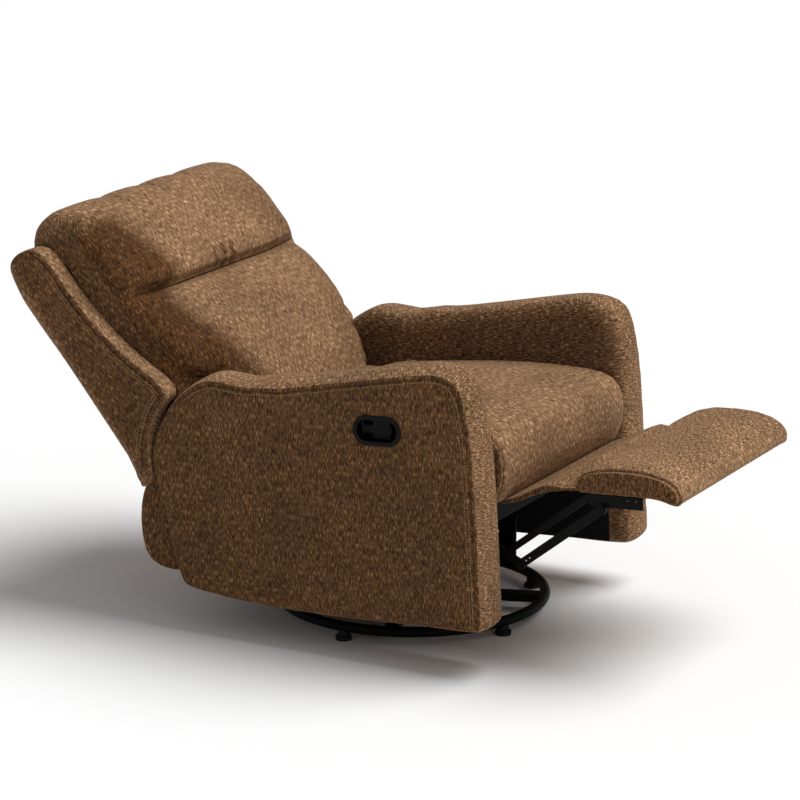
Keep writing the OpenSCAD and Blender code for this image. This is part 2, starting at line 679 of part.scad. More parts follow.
module back_frame() color("burlywood") body_frame() {
    low_front = -cushion_rear - seat_gap;
    front = -upper_rear - seat_gap;
    step = back_reach * 0.33;
    top = back_reach * 0.85;
    for (side = [0, 1]) mirror([side, 0, 0])
        sideways(control_x - upright_t, upright_t) polygon([
            in_back([low_front, -upright_t]), in_back([low_front - upright_t * 2, -upright_t]),
            in_back([-frame_rear, back_reach * 0.16]), in_back([-frame_rear, top]), in_back([front, top]),
            in_back([front, step]), in_back([low_front, step - 2 * upright_t])
        ]);
    for (up = [step + upright_t, top - back_rail_h - rail_inset])
        sideways(-wing_in_x + seat_gap, 2 * (wing_in_x - seat_gap)) polygon([
            in_back([front - rail_inset, up]), in_back([-frame_rear + rail_inset, up]),
            in_back([-frame_rear + rail_inset, up + back_rail_h]), in_back([front - rail_inset, up + back_rail_h])
        ]);
    sideways(-control_x + upright_t / 2, 2 * control_x - upright_t) polygon([
        in_back([low_front - rail_inset, upright_t]), in_back([low_front - upright_t, upright_t]),
        in_back([low_front - upright_t, upright_t + back_rail_h]), in_back([low_front - rail_inset, upright_t + back_rail_h])
    ]);
}

function sized(stations, half) =
    [for (s = stations) [s[0] * back_reach, s[1] * half, s[2] * nose_r, s[3] * nose_r]];

module lumbar_cushion() color("peru") body_frame() stuffed(concat(
    sized(lumbar_nose_shares, side_plate_x), sized(lumbar_low_shares, arm_in_x),
    sized(lumbar_high_shares, lumbar_half_w)
), 36, 0.42);

module head_pillow() color("peru") body_frame() stuffed(sized(pillow_station_shares, lumbar_half_w), 36, 0.42);

function wing_outline() = [for (p = concat(
    [for (s = wing_outline_shares) [s[0] * wing_depth, s[1] * wing_reach]],
    [for (a = [12, 22, 32, 42, 52, 60]) wing_arc_r * [-sin(a), cos(a)]]
)) in_back(p)];

module wing() padded_slab(wing_outline(), wing_in_x, wing_in_x + wing_w, wing_edge);

module wing_left() color("peru") body_frame() wing();
module wing_right() color("peru") body_frame() right_side() wing();

module back_panel() color("peru") body_frame() {
    half = wing_in_x - layer_gap;
    stuffed([for (s = panel_station_shares)
        [s[0] * back_reach, s[1] * half, -frame_rear - seat_gap - s[2] * panel_t, frame_rear + panel_t * (1 - s[2])]], 24, 0.25);
}

// A hanging strip: a row of points and the same row moved by its thickness
module rear_skirt() color("saddlebrown") body_frame() {
    reach = skirt_top - skirt_bottom;
    line = [for (s = skirt_shares) [skirt_top[0] + s[0] * reach[0], skirt_bottom[1] + s[1] * reach[1]]];
    sideways(-skirt_half_w, 2 * skirt_half_w)
        polygon(concat(line, [for (k = [len(line) - 1 : -1 : 0]) line[k] + [skirt_t, 0]]));
    // It turns the corner at each side and runs forward to the arm's rear edge
    arm_rear = shared([arm_front_y, arm_bottom_z], [arm_len, arm_h], arm_rear_shares);
    return_line = concat(
        [for (p = line) p + [skirt_t / 2, 0]], [for (k = [1 : len(arm_rear) - 1]) arm_rear[k] + [layer_gap, 0]]
    );
    for (side = [0, 1]) mirror([side, 0, 0]) sideways(skirt_half_w - skirt_t, skirt_t) polygon(return_line);
}

// Footrest linkage

module lift_link() {
    sideways(lift_x, plate_t) {
        bar(lift_pivot, elbow, link_w);
        at(lift_pivot) circle(d = drive_tube_d * 1.5);
    }
    stud(elbow, lift_x + plate_t, 1);
    stud(lift_tie, lift_x, -1);
}

module lift_link_left() color("dimgray") body_frame() lift_link();
module lift_link_right() color("dimgray") body_frame() right_side() lift_link();

module drive_tube() color("dimgray") body_frame() translate([-lift_x, lift_pivot[0], lift_pivot[1]]) rotate([0, 90, 0])
    difference() {
        cylinder(h = 2 * lift_x, d = drive_tube_d);
        translate([0, 0, -cut]) cylinder(h = 2 * (lift_x + cut), d = drive_tube_d - 2 * drive_tube_wall);
    }

module control_link() difference() {
    sideways(control_x, plate_t) bar(control_pivot, control_tie, link_w);
    bore(control_pivot, control_x, stud_d + 2 * run_fit);
    bore(control_tie, control_x, stud_d + 2 * open_fit);
}

module control_link_left() color("dimgray") body_frame() control_link();
module control_link_right() color("dimgray") body_frame() right_side() control_link();

module upper_link() {
    difference() {
        sideways(upper_x, plate_t) bar(control_tie, board_tie, link_w * 0.85);
        bore(lift_tie, upper_x, stud_d + 2 * run_fit);
        bore(board_tie, upper_x, stud_d + 2 * open_fit);
    }
    stud(control_tie, upper_x, -1);
}

module upper_link_left() color("dimgray") body_frame() upper_link();
module upper_link_right() color("dimgray") body_frame() right_side() upper_link();

module long_link() difference() {
    sideways(long_x, plate_t) bar(elbow, knee, link_w * 1.1);
    bore(elbow, long_x, stud_d + 2 * run_fit);
    bore(knee, long_x, stud_d + 2 * run_fit);
    for (s = link_hole_shares) bore(elbow + s * (knee - elbow), long_x, stud_d * 0.4);
}

module long_link_left() color("dimgray") body_frame() long_link();
module long_link_right() color("dimgray") body_frame() right_side() long_link();

// Footrest board, its brackets and its pad

module footrest_bracket() {
    rear = bracket_front_y + bracket_len;
    top = pad_bottom_z;
    sideways(lift_x, plate_t) difference() {
        polygon([
            [bracket_front_y, top - bracket_h], [knee[0] - link_w / 2, top - bracket_h], [knee[0], knee[1] - link_w / 2],
            [knee[0] + link_w / 2, knee[1] - link_w / 3], [rear, board_tie[1] - link_w / 4],
            [rear, top], [bracket_front_y, top]
        ]);
        for (s = bracket_hole_shares) at([bracket_front_y + bracket_h * s, top - bracket_h / 3]) circle(d = stud_d * 0.45);
    }
    sideways(lift_x, plate_t) at(knee) circle(d = link_w);
    translate([lift_x - flange_w, bracket_front_y, top - flange_t]) cube([flange_w, flange_back, flange_t]);
    stud(knee, lift_x + plate_t, 1);
    stud(board_tie, lift_x, -1);
}

module footrest_bracket_left() color("dimgray") body_frame() footrest_bracket();
module footrest_bracket_right() color("dimgray") body_frame() right_side() footrest_bracket();

module board_block(extra) translate([
    -pad_half_w + board_inset - extra, pad_front_y + board_inset - extra, pad_bottom_z
]) cube([2 * (pad_half_w - board_inset + extra), pad_len - 2 * board_inset + 2 * extra, board_t + extra]);

module footrest_board() color("burlywood") body_frame() board_block(0);

module footrest_pad() color("peru") body_frame() difference() {
    padded_slab(
        shared([pad_front_y, pad_bottom_z], [pad_len, pad_thick], pad_outline_shares),
        -pad_half_w, pad_half_w, board_inset * 0.7
    );
    translate([0, 0, -cut]) board_block(seat_gap);
    board_block(seat_gap);
}

module footrest_flap() color("saddlebrown") body_frame() {
    reach = flap_board - flap_seat;
    sideways(-flap_half_w, 2 * flap_half_w) polygon(shared(flap_seat, reach, concat(flap_low_shares, flap_high_shares)));
}

base_ring();
base_feet();
swivel_race_lower();
swivel_pin();
swivel_race_upper();
swivel_plate();
carriage_rails();
glider_bracket_left();
glider_bracket_right();
front_swing_link_left();
front_swing_link_right();
rear_swing_link_left();
rear_swing_link_right();
hanger_left();
hanger_right();
side_plate_left();
side_plate_right();
seat_rail_left();
seat_rail_right();
frame_cross_tube();
arm_rail_front();
arm_rail_rear();
seat_box();
seat_springs();
seat_cushion();
arm_left();
arm_right();
arm_lining_left();
arm_lining_right();
rear_rail();
lever_bezel();
lever_pull();
back_bracket_left();
back_bracket_right();
back_frame();
lumbar_cushion();
head_pillow();
wing_left();
wing_right();
back_panel();
rear_skirt();
lift_link_left();
lift_link_right();
drive_tube();
control_link_left();
control_link_right();
upper_link_left();
upper_link_right();
long_link_left();
long_link_right();
footrest_bracket_left();
footrest_bracket_right();
footrest_board();
footrest_pad();
footrest_flap();
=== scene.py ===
# %% [markdown]
# The chair stands in metres, with X across it, the sitter facing -Y, and Z up. The model of its
# construction is loaded first: it gives every piece its place, and the pieces made here are
# the covers, seams and finishes that sit on it.

import math

import bmesh
import bpy
import numpy as np
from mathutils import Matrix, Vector
from mathutils.bvhtree import BVHTree
from mathutils.kdtree import KDTree


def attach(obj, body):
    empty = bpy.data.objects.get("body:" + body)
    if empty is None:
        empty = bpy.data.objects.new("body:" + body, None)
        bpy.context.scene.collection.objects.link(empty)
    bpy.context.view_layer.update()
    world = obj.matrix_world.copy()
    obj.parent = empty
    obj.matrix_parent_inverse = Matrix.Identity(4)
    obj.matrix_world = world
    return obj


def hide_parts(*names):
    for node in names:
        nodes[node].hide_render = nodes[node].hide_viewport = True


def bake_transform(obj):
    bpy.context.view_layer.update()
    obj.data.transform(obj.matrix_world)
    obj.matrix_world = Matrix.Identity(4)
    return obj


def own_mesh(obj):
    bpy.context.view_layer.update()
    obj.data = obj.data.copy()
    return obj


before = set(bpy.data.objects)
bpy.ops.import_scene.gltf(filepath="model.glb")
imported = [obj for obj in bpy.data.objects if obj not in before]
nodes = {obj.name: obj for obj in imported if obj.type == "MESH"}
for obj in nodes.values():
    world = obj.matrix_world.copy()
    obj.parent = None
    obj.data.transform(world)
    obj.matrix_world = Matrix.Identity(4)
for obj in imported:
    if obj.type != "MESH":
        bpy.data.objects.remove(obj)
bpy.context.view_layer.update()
scene = bpy.context.scene

# %% [markdown]
# The photograph was taken from in front of the sitter's right arm and a little above it, with a
# long lens. The camera gets the same place, so that its picture can be laid over the photograph.

# %% Camera
CAMERA_PLACE = Vector((-6.33614, -3.40380, 2.33142))
CAMERA_BACK = Vector((-0.85047, -0.46098, 0.25337))
CAMERA_SENSOR_MM = 36
CAMERA_LENS_MM = 158.986

camera_data = bpy.data.cameras.new("camera")
camera_data.sensor_fit = "HORIZONTAL"
camera_data.sensor_width = CAMERA_SENSOR_MM
camera_data.lens = CAMERA_LENS_MM
camera = bpy.data.objects.new("camera", camera_data)
camera.location = CAMERA_PLACE
camera.rotation_euler = (-CAMERA_BACK).to_track_quat("-Z", "Y").to_euler()
scene.collection.objects.link(camera)
scene.camera = camera

# %% [markdown]
# Operators act on whatever is selected, so each helper first selects one piece alone. A copied
# cover starts from the construction model's solid, whose loose triangles are merged into one skin.
# Points are read and written as arrays, which is much quicker than one by one.

# %% Helpers for pieces
MERGE_GAP = 0.00002


def alone(piece):
    bpy.ops.object.select_all(action="DESELECT")
    piece.select_set(True)
    bpy.context.view_layer.objects.active = piece


def applied(piece, kind, **settings):
    alone(piece)
    modifier = piece.modifiers.new(kind.title(), kind)
    for setting, value in settings.items():
        setattr(modifier, setting, value)
    bpy.ops.object.modifier_apply(modifier=modifier.name)


def faced_out(piece):
    alone(piece)
    bpy.ops.object.mode_set(mode="EDIT")
    bpy.ops.mesh.select_all(action="SELECT")
    bpy.ops.mesh.remove_doubles(threshold=MERGE_GAP)
    bpy.ops.mesh.normals_make_consistent(inside=False)
    bpy.ops.object.mode_set(mode="OBJECT")


def cad_copy(node, name):
    mesh = nodes[node].data.copy()
    mesh.name = name
    mesh.materials.clear()
    piece = bpy.data.objects.new(name, mesh)
    scene.collection.objects.link(piece)
    alone(piece)
    if mesh.has_custom_normals:
        bpy.ops.mesh.customdata_custom_splitnormals_clear()
    faced_out(piece)
    return piece


def points(piece):
    flat = np.empty(len(piece.data.vertices) * 3)
    piece.data.vertices.foreach_get("co", flat)
    return flat.reshape(-1, 3)


def normals(piece):
    flat = np.empty(len(piece.data.vertices) * 3)
    piece.data.vertex_normals.foreach_get("vector", flat)
    return flat.reshape(-1, 3)


def move_to(piece, places):
    piece.data.vertices.foreach_set("co", np.ascontiguousarray(places, dtype=np.float64).ravel())
    piece.data.update()


def smoothed(piece, rounds):
    applied(piece, "SMOOTH", factor=0.5, iterations=rounds)


def shaded_smooth(piece):
    alone(piece)
    bpy.ops.object.shade_smooth()

# %% [markdown]
# Most of the shaping pushes points by an amount that grows and fades from place to place. A ramp
# that climbs, a ramp that falls and a bell are enough for all of it, and they are easy to read. A
# search tree finds the nearest point of a line without trying them all.

# %% Helpers for shaping
def rise(value, start, length):
    """0 up to the start, and from there a climb to 1 over this length."""
    return np.clip((value - start) / length, 0, 1)


def fall(value, end, length):
    """1 at first, and a fall over this length to 0 at the end."""
    return np.clip((end - value) / length, 0, 1)


def bell(gap, width, power=2):
    return np.exp(-((gap / width) ** power))


def tree_of(places):
    tree = KDTree(len(places))
    for i, place in enumerate(places):
        tree.insert(place, i)
    tree.balance()
    return tree


def unit(vector):
    return vector / max(np.linalg.norm(vector), 1e-9)

# %% [markdown]
# The seat body is tilted back by three degrees, and the back leans further from its pivot. Work on
# a cover is easier in the frame that it belongs to, so these turn places into it and back again.

# %% Frames of the seat body and of the back
BODY_TILT = math.radians(3)
BACK_LEAN = math.radians(35)
PIVOT_Y, PIVOT_Z = 0.180, 0.374


def to_body(places):
    x, y, z = np.asarray(places, float).T
    c, s = math.cos(BODY_TILT), math.sin(BODY_TILT)
    return np.stack([x, y * c - z * s, y * s + z * c], 1)


def from_body(places):
    x, y, z = np.asarray(places, float).T
    c, s = math.cos(BODY_TILT), math.sin(BODY_TILT)
    return np.stack([x, y * c + z * s, -y * s + z * c], 1)


def to_back(places):
    """Across, forward out of the back's face, and up along the back."""
    x, y, z = to_body(places).T
    y, z = y - PIVOT_Y, z - PIVOT_Z
    c, s = math.cos(BACK_LEAN), math.sin(BACK_LEAN)
    return np.stack([x, -y * c + z * s, y * s + z * c], 1)


def from_back(places):
    x, forward, up = np.asarray(places, float).T
    c, s = math.cos(BACK_LEAN), math.sin(BACK_LEAN)
    return from_body(np.stack([x, PIVOT_Y - forward * c + up * s, PIVOT_Z + forward * s + up * c], 1))

# %% [markdown]
# An arm or a wing is a board of stuffing: one outline carried across the chair. The outline is read
# from the construction model's edges, so that it follows every change there, and a smooth curve is
# laid through its corners, because cloth pulled over foam has none.

# %% Outlines
SAME_PLACE = 0.00005
CURVE_POINTS = 24
OUTLINE_SPAN = 3
OUTLINE_STEP = 0.006


def cad_outline(node, x):
    """The loop of edges at this distance across the chair, as [y, z] corners in order."""
    copy = cad_copy(node, "outline")
    cage = bmesh.new()
    cage.from_mesh(copy.data)
    at = {v.index for v in cage.verts if abs(v.co.x - x) < SAME_PLACE}
    near = {i: [] for i in at}
    for edge in cage.edges:
        a, b = edge.verts[0].index, edge.verts[1].index
        if a in at and b in at:
            near[a].append(b)
            near[b].append(a)
    loop = [min(at)]
    while True:
        following = [i for i in near[loop[-1]] if i not in loop]
        if not following:
            break
        loop.append(following[0])
    cage.verts.ensure_lookup_table()
    outline = np.array([[cage.verts[i].co.y, cage.verts[i].co.z] for i in loop])
    cage.free()
    bpy.data.objects.remove(copy)
    return outline


def smooth_loop(outline, spacing):
    """A closed curve through the corners, with points this far apart."""
    chord = np.linalg.norm(np.roll(outline, -1, 0) - outline, axis=1)
    before, after = np.roll(outline, 1, 0), np.roll(outline, -1, 0)
    slope = (after - before) / (chord + np.roll(chord, 1))[:, None]
    curve = []
    for i in range(len(outline)):
        j = (i + 1) % len(outline)
        t = np.linspace(0, 1, CURVE_POINTS, endpoint=False)[:, None]
        curve.append(
            (2 * t**3 - 3 * t**2 + 1) * outline[i] + (t**3 - 2 * t**2 + t) * chord[i] * slope[i]
            + (3 * t**2 - 2 * t**3) * outline[j] + (t**3 - t**2) * chord[i] * slope[j]
        )
    return evenly(np.concatenate(curve), spacing, closed=True)


def evenly(line, spacing, closed=False):
    """The same line with evenly spaced points."""
    line = np.asarray(line, float)
    whole = np.concatenate([line, line[:1]]) if closed else line
    run = np.concatenate([[0], np.cumsum(np.linalg.norm(np.diff(whole, axis=0), axis=1))])
    count = max(2, int(round(run[-1] / spacing)))
    at = np.linspace(0, run[-1], count, endpoint=False) if closed else np.linspace(0, run[-1], count + 1)
    return np.stack([np.interp(at, run, whole[:, k]) for k in range(whole.shape[1])], 1)


def inset(outline, distance):
    """The closed loop moved inwards."""
    step = np.roll(outline, -OUTLINE_SPAN, 0) - np.roll(outline, OUTLINE_SPAN, 0)
    step /= np.linalg.norm(step, axis=1)[:, None]
    y, z = outline.T
    anticlockwise = np.sum(y * np.roll(z, -1) - np.roll(y, -1) * z) > 0
    inward = np.stack([-step[:, 1], step[:, 0]], 1) * (1 if anticlockwise else -1)
    return outline + inward * distance


ARM_FULL_X = 0.388
WING_FULL_X = 0.389
arm_outline = smooth_loop(cad_outline("arm_left", ARM_FULL_X), OUTLINE_STEP)
wing_outline = smooth_loop(cad_outline("wing_left", WING_FULL_X), OUTLINE_STEP)
print("arm outline", len(arm_outline), "points, wing outline", len(wing_outline), "points")

# %% [markdown]
# Stuffing pushes the cover out between its seams. A cloth simulation with air pressure inside does
# the same. It runs on a coarse copy of the cover, which is quick, and the swelling that it finds is
# laid on the fine cover. The average is taken off, so that the cover keeps the room that the
# construction model gives it, and no point travels further than the cap.

# %% Helpers for stuffing
CLOTH_FRAMES = 20
CLOTH_PRESSURE = 4.0
START_INSIDE = 0.004
NEAREST_POINTS = 8
GAP_FLOOR = 0.002


def remeshed(piece, voxel):
    applied(piece, "REMESH", mode="VOXEL", voxel_size=voxel)


def gaps_to(line, places):
    tree = tree_of(line)
    return np.array([tree.find(place)[2] for place in places])


def swelling(piece, voxel, held_lines=None):
    """Places on a coarse copy of the cover, and how far pressure pushes each of them out."""
    coarse = bpy.data.objects.new("coarse", piece.data.copy())
    scene.collection.objects.link(coarse)
    remeshed(coarse, voxel)
    smoothed(coarse, 2)
    rest, out = points(coarse), normals(coarse)
    move_to(coarse, rest - out * START_INSIDE)
    hold = coarse.vertex_groups.new(name="held")
    if held_lines is not None:
        near = np.nonzero(gaps_to(held_lines, rest) < voxel)[0]
        hold.add(near.tolist(), 1.0, "REPLACE")
    alone(coarse)
    cloth = coarse.modifiers.new("Cloth", "CLOTH")
    cloth.settings.use_pressure = True
    cloth.settings.uniform_pressure_force = CLOTH_PRESSURE
    cloth.settings.effector_weights.gravity = 0
    cloth.settings.vertex_group_mass = "held" if held_lines is not None else ""
    cloth.point_cache.frame_start = 1
    cloth.point_cache.frame_end = CLOTH_FRAMES
    for moment in range(1, CLOTH_FRAMES + 1):
        scene.frame_set(moment)
    bpy.ops.object.modifier_apply(modifier=cloth.name)
    travel = np.sum((points(coarse) - rest) * out, axis=1)
    scene.frame_set(1)
    bpy.data.objects.remove(coarse)
    return rest, travel


def puffed(piece, cap, voxel=0.010, held_lines=None):
    """Lays the simulated swelling on the cover, about its average and up to the cap."""
    rest, travel = swelling(piece, voxel, held_lines)
    travel = travel - np.mean(travel)
    tree = tree_of(rest)
    places, out = points(piece), normals(piece)
    lift = np.empty(len(places))
    for i, place in enumerate(places):
        found = tree.find_n(place, NEAREST_POINTS)
        share = np.array([1 / (gap + GAP_FLOOR) for _, _, gap in found])
        lift[i] = np.dot(share, travel[[k for _, k, _ in found]]) / share.sum()
    lift = cap * np.tanh(lift / cap)
    move_to(piece, places + out * lift[:, None])
    print(piece.name, "swelling from", round(lift.min() * 1000, 1), "to", round(lift.max() * 1000, 1), "mm")

# %% [markdown]
# A seam pulls the two panels that it joins down to one line, and the stuffing rolls up beside it. It
# could be a row of loop cuts, but a remeshed skin has no rows to cut, so the points near the line
# are drawn in by their distance from it.

# %% Helpers for seams
ROLL_AWAY = 2.2


def sewn(piece, line, depth, width, roll=0.3):
    """Draws the cover in along a seam, and rolls it up a little on both sides."""
    places, out = points(piece), normals(piece)
    gap = gaps_to(line, places)
    drawn = depth * bell(gap, width)
    rolled = depth * roll * bell(gap - ROLL_AWAY * width, width)
    move_to(piece, places + out * (rolled - drawn)[:, None])


def on_skin(piece, line):
    """The line dropped onto the cover, with the cover's own direction outwards at each point."""
    tree = BVHTree.FromObject(piece, bpy.context.evaluated_depsgraph_get())
    found = [tree.find_nearest(Vector(place)) for place in line]
    return np.array([spot for spot, _, _, _ in found]), np.array([out for _, out, _, _ in found])


def relaxed(line, rounds=2):
    """Evens out the small steps of a line that was dropped onto a skin."""
    line = line.copy()
    for _ in range(rounds):
        line[1:-1] = 0.25 * line[:-2] + 0.5 * line[1:-1] + 0.25 * line[2:]
    return line

# %% [markdown]
# Topstitching is a row of separate stitches, each a short thread that comes up out of the cloth and
# goes back into it. A curve with a bevel would give one smooth cord, so each stitch is a small
# spindle with five sides instead, and a seam line is a thin dark cord sunk into the valley, as painted
# shadow and crushed pile there. All the thread of a cover is one piece with two finishes, because
# there are thousands of stitches.

# %% Helpers for thread
STITCH_PITCH = 0.0062
STITCH_LENGTH = 0.0050
STITCH_THICK = 0.00075
STITCH_SHAPE = ((-0.5, 0.45, -0.5), (-0.25, 1, 0.4), (0.25, 1, 0.4), (0.5, 0.45, -0.5))
SEAM_THICK = 0.0009
SEAM_STEP = 0.004
SEAM_SUNK = 0.35
SEAM_TAPER = 0.3
THREAD_SIDES = 5


def thread_piece(name, corners, faces, shades):
    """Makes one piece of the stitches and seam lines; shades picks each face's finish."""
    mesh = bpy.data.meshes.new(name)
    mesh.from_pydata(corners, [], faces)
    thread = bpy.data.objects.new(name, mesh)
    scene.collection.objects.link(thread)
    alone(thread)
    bpy.ops.object.mode_set(mode="EDIT")
    bpy.ops.mesh.select_all(action="SELECT")
    bpy.ops.mesh.normals_make_consistent(inside=False)
    bpy.ops.object.mode_set(mode="OBJECT")
    shaded_smooth(thread)
    mesh.materials.append(thread_finish)
    mesh.materials.append(seam_shade)
    mesh.polygons.foreach_set("material_index", shades)
    return thread


def ring_run(faces, rings, first):
    """Closes the rings of corners into one spindle or cord."""
    for ring in range(rings - 1):
        for turn in range(THREAD_SIDES):
            a = first + ring * THREAD_SIDES + turn
            b = first + ring * THREAD_SIDES + (turn + 1) % THREAD_SIDES
            faces.append((a, b, b + THREAD_SIDES, a + THREAD_SIDES))
    faces.append(tuple(first + turn for turn in reversed(range(THREAD_SIDES))))
    faces.append(tuple(first + (rings - 1) * THREAD_SIDES + turn for turn in range(THREAD_SIDES)))


def ring_at(corners, middle, across, out, radius):
    for turn in range(THREAD_SIDES):
        angle = math.tau * turn / THREAD_SIDES
        corners.append(middle + radius * (math.cos(angle) * across + math.sin(angle) * out))


def stitched(name, piece, body, rows=(), seams=(), seam_thick=SEAM_THICK):
    """Rows of stitches, which dip into the cover at both ends, and the dark lines of its seams."""
    corners, faces, shades = [], [], []
    for line in rows:
        spots, outs = on_skin(piece, evenly(line, STITCH_PITCH))
        spots = relaxed(spots)
        for k in range(1, len(spots) - 1):
            along = unit(spots[k + 1] - spots[k - 1])
            across = unit(np.cross(outs[k], along))
            first = len(corners)
            for share, swell, lift in STITCH_SHAPE:
                middle = spots[k] + along * STITCH_LENGTH * share + outs[k] * STITCH_THICK * lift
                ring_at(corners, middle, across, outs[k], STITCH_THICK * swell)
            ring_run(faces, len(STITCH_SHAPE), first)
            shades += [0] * (len(faces) - len(shades))
    for line in seams:
        spots, outs = on_skin(piece, evenly(line, SEAM_STEP))
        spots = relaxed(spots, 3)
        along = np.gradient(spots, axis=0)
        first = len(corners)
        for k, spot in enumerate(spots):
            across = unit(np.cross(outs[k], along[k]))
            swell = SEAM_TAPER if k in (0, len(spots) - 1) else 1.0
            ring_at(corners, spot - outs[k] * seam_thick * SEAM_SUNK, across, outs[k], seam_thick * swell)
        ring_run(faces, len(spots), first)
        shades += [1] * (len(faces) - len(shades))
    thread = thread_piece(name, corners, faces, shades)
    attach(thread, body)
    print(name, len(faces), "faces")

# %% [markdown]
# Finishes are built from nodes. A few short helpers add a node, set its values and join its inputs
# in one call, so that a finish reads like a recipe. Colours are written as they look on a screen, from
# 0 to 255, and turned into the linear values that shaders take.

# %% Helpers for finishes
def linear(*shades):
    """Screen colours from 0 to 255, as the linear colours that shaders take."""
    return tuple(((s / 255 + 0.055) / 1.055) ** 2.4 if s > 10 else s / 255 / 12.92 for s in shades) + (1.0,)


def added(tree, kind, links=None, **settings):
    """Adds a node, sets its values and joins its inputs."""
    item = tree.nodes.new(kind)
    for setting, value in settings.items():
        setattr(item, setting, value)
    for socket, source in (links or {}).items():
        if isinstance(source, bpy.types.NodeSocket):
            tree.links.new(source, item.inputs[socket])
        else:
            item.inputs[socket].default_value = source
    return item


def combined(tree, kind, a, b=None, c=None):
    links = {k: v for k, v in enumerate((a, b, c)) if v is not None}
    return added(tree, "ShaderNodeMath", links, operation=kind).outputs[0]


def ranged(tree, value, low, high, to_low=0.0, to_high=1.0):
    return added(
        tree, "ShaderNodeMapRange",
        {"Value": value, "From Min": low, "From Max": high, "To Min": to_low, "To Max": to_high},
        clamp=True,
    ).outputs[0]


def noise(tree, place, scale, detail=2.0, rough=0.5):
    return added(
        tree, "ShaderNodeTexNoise", {"Vector": place, "Scale": scale, "Detail": detail, "Roughness": rough}
    ).outputs["Fac"]


def stretched(tree, place, scale, shift=(0, 0, 0)):
    return added(tree, "ShaderNodeMapping", {"Vector": place, "Scale": scale, "Location": shift}).outputs[0]


def mixed(tree, share, a, b):
    mix = added(tree, "ShaderNodeMix", data_type="RGBA")
    for socket, source in ((mix.inputs[0], share), (mix.inputs[6], a), (mix.inputs[7], b)):
        if isinstance(source, bpy.types.NodeSocket):
            tree.links.new(source, socket)
        else:
            socket.default_value = source
    return mix.outputs[2]


def group_tree(name, inputs, outputs):
    tree = bpy.data.node_groups.new(name, "ShaderNodeTree")
    for socket, kind in inputs:
        tree.interface.new_socket(socket, in_out="INPUT", socket_type=kind)
    for socket, kind in outputs:
        tree.interface.new_socket(socket, in_out="OUTPUT", socket_type=kind)
    return tree, tree.nodes.new("NodeGroupInput"), tree.nodes.new("NodeGroupOutput")


VECTOR, FLOAT, COLOUR = "NodeSocketVector", "NodeSocketFloat", "NodeSocketColor"

# %% [markdown]
# The cover is a chenille weave: soft yarns in brown, with lighter and darker fibres that show as short
# strokes along the yarn. A picture of the cloth would repeat itself and lose its sharpness close up, so
# noises stretched along the yarn give the strokes, a fine wave gives the threads, and wide soft
# noises give the patches where the nap lies another way.

# %% The weave
weave, given, result = group_tree(
    "chenille weave",
    [("Cloth", VECTOR), ("Place", VECTOR), ("Nap shade", FLOAT), ("Yarn", COLOUR), ("Light fibre", COLOUR),
     ("Dark fibre", COLOUR), ("Nap shade tint", COLOUR)],
    [("Colour", COLOUR), ("Height", FLOAT)],
)
cloth_at, place_at, nap_shade_at, yarn_given, light_given, dark_given, nap_shade_tint_given = given.outputs[:7]


def strokes(scale, shift=(0, 0, 0), detail=1.0, rough=0.5):
    """Noise on the cloth's own pattern, drawn out along the yarn by unequal scales."""
    return noise(weave, stretched(weave, cloth_at, scale, shift), 1.0, detail, rough)


def product(a, b):
    return combined(weave, "MULTIPLY", a, b)


light_strokes = strokes((470, 88, 1))
dark_strokes = strokes((380, 74, 1), (31, 17, 0))
cross_strokes = strokes((95, 480, 1), (7, 3, 5))
mottle = strokes((130, 90, 1), (2, 9, 4), 2.0, 0.6)
streaks = strokes((105, 36, 1), (5, 11, 2), 2.0, 0.55)
patches = noise(weave, place_at, 7.0, 3.0, 0.55)
clouds = noise(weave, place_at, 38.0, 2.0, 0.5)
threads = added(
    weave, "ShaderNodeTexWave",
    {"Vector": cloth_at, "Scale": 120.0, "Distortion": 1.5, "Detail": 1.0, "Detail Scale": 2.0},
    wave_type="BANDS", bands_direction="X",
).outputs["Fac"]

# %% [markdown]
# The colour starts as plain yarn. Dark fibres go over it, then light ones, and then patches, clouds
# and mottling make it lighter and darker. Where the nap shade is set, a tint goes over all: painted
# shade on the panels that turn away from the light, together with the darker lie of the nap.

# %% The weave's colour and height
yarn = mixed(weave, product(ranged(weave, dark_strokes, 0.48, 0.64), 0.8), yarn_given, dark_given)
yarn = mixed(weave, ranged(weave, cross_strokes, 0.56, 0.74, 0.0, 0.6), yarn, dark_given)
yarn = mixed(weave, product(ranged(weave, light_strokes, 0.52, 0.68), 0.85), yarn, light_given)
patchy = product(ranged(weave, patches, 0.3, 0.7, 0.82, 1.16), ranged(weave, clouds, 0.3, 0.7, 0.92, 1.08))
shade = product(patchy, ranged(weave, mottle, 0.3, 0.7, 0.86, 1.14))
streaky = combined(weave, "MULTIPLY_ADD", nap_shade_at, ranged(weave, streaks, 0.34, 0.66, -0.3, 0.3), 1.0)
shade = product(shade, streaky)
shaded = added(weave, "ShaderNodeVectorMath", {0: yarn, "Scale": shade}, operation="SCALE").outputs[0]
# Painted shade: the nap shade tint darkens the panels that turn away from the light.
tint = mixed(weave, nap_shade_at, (1.0, 1.0, 1.0, 1.0), nap_shade_tint_given)
tinted = added(weave, "ShaderNodeVectorMath", {0: shaded, 1: tint}, operation="MULTIPLY").outputs[0]
weave.links.new(tinted, result.inputs["Colour"])
strokes_high = combined(weave, "MULTIPLY_ADD", dark_strokes, -1.0, 1.0)
strokes_high = combined(weave, "MULTIPLY_ADD", light_strokes, 1.6, strokes_high)
weave.links.new(combined(weave, "MULTIPLY_ADD", threads, 0.25, strokes_high), result.inputs["Height"])

# %% [markdown]
# The finish reads three things from a cover: its flat pattern, its place on the chair and its nap
# shade, which is painted shade on the panels that turn away from the light, together with the darker
# lie of the nap. A little sheen stands for the loose fibre ends that catch the light at a low angle.

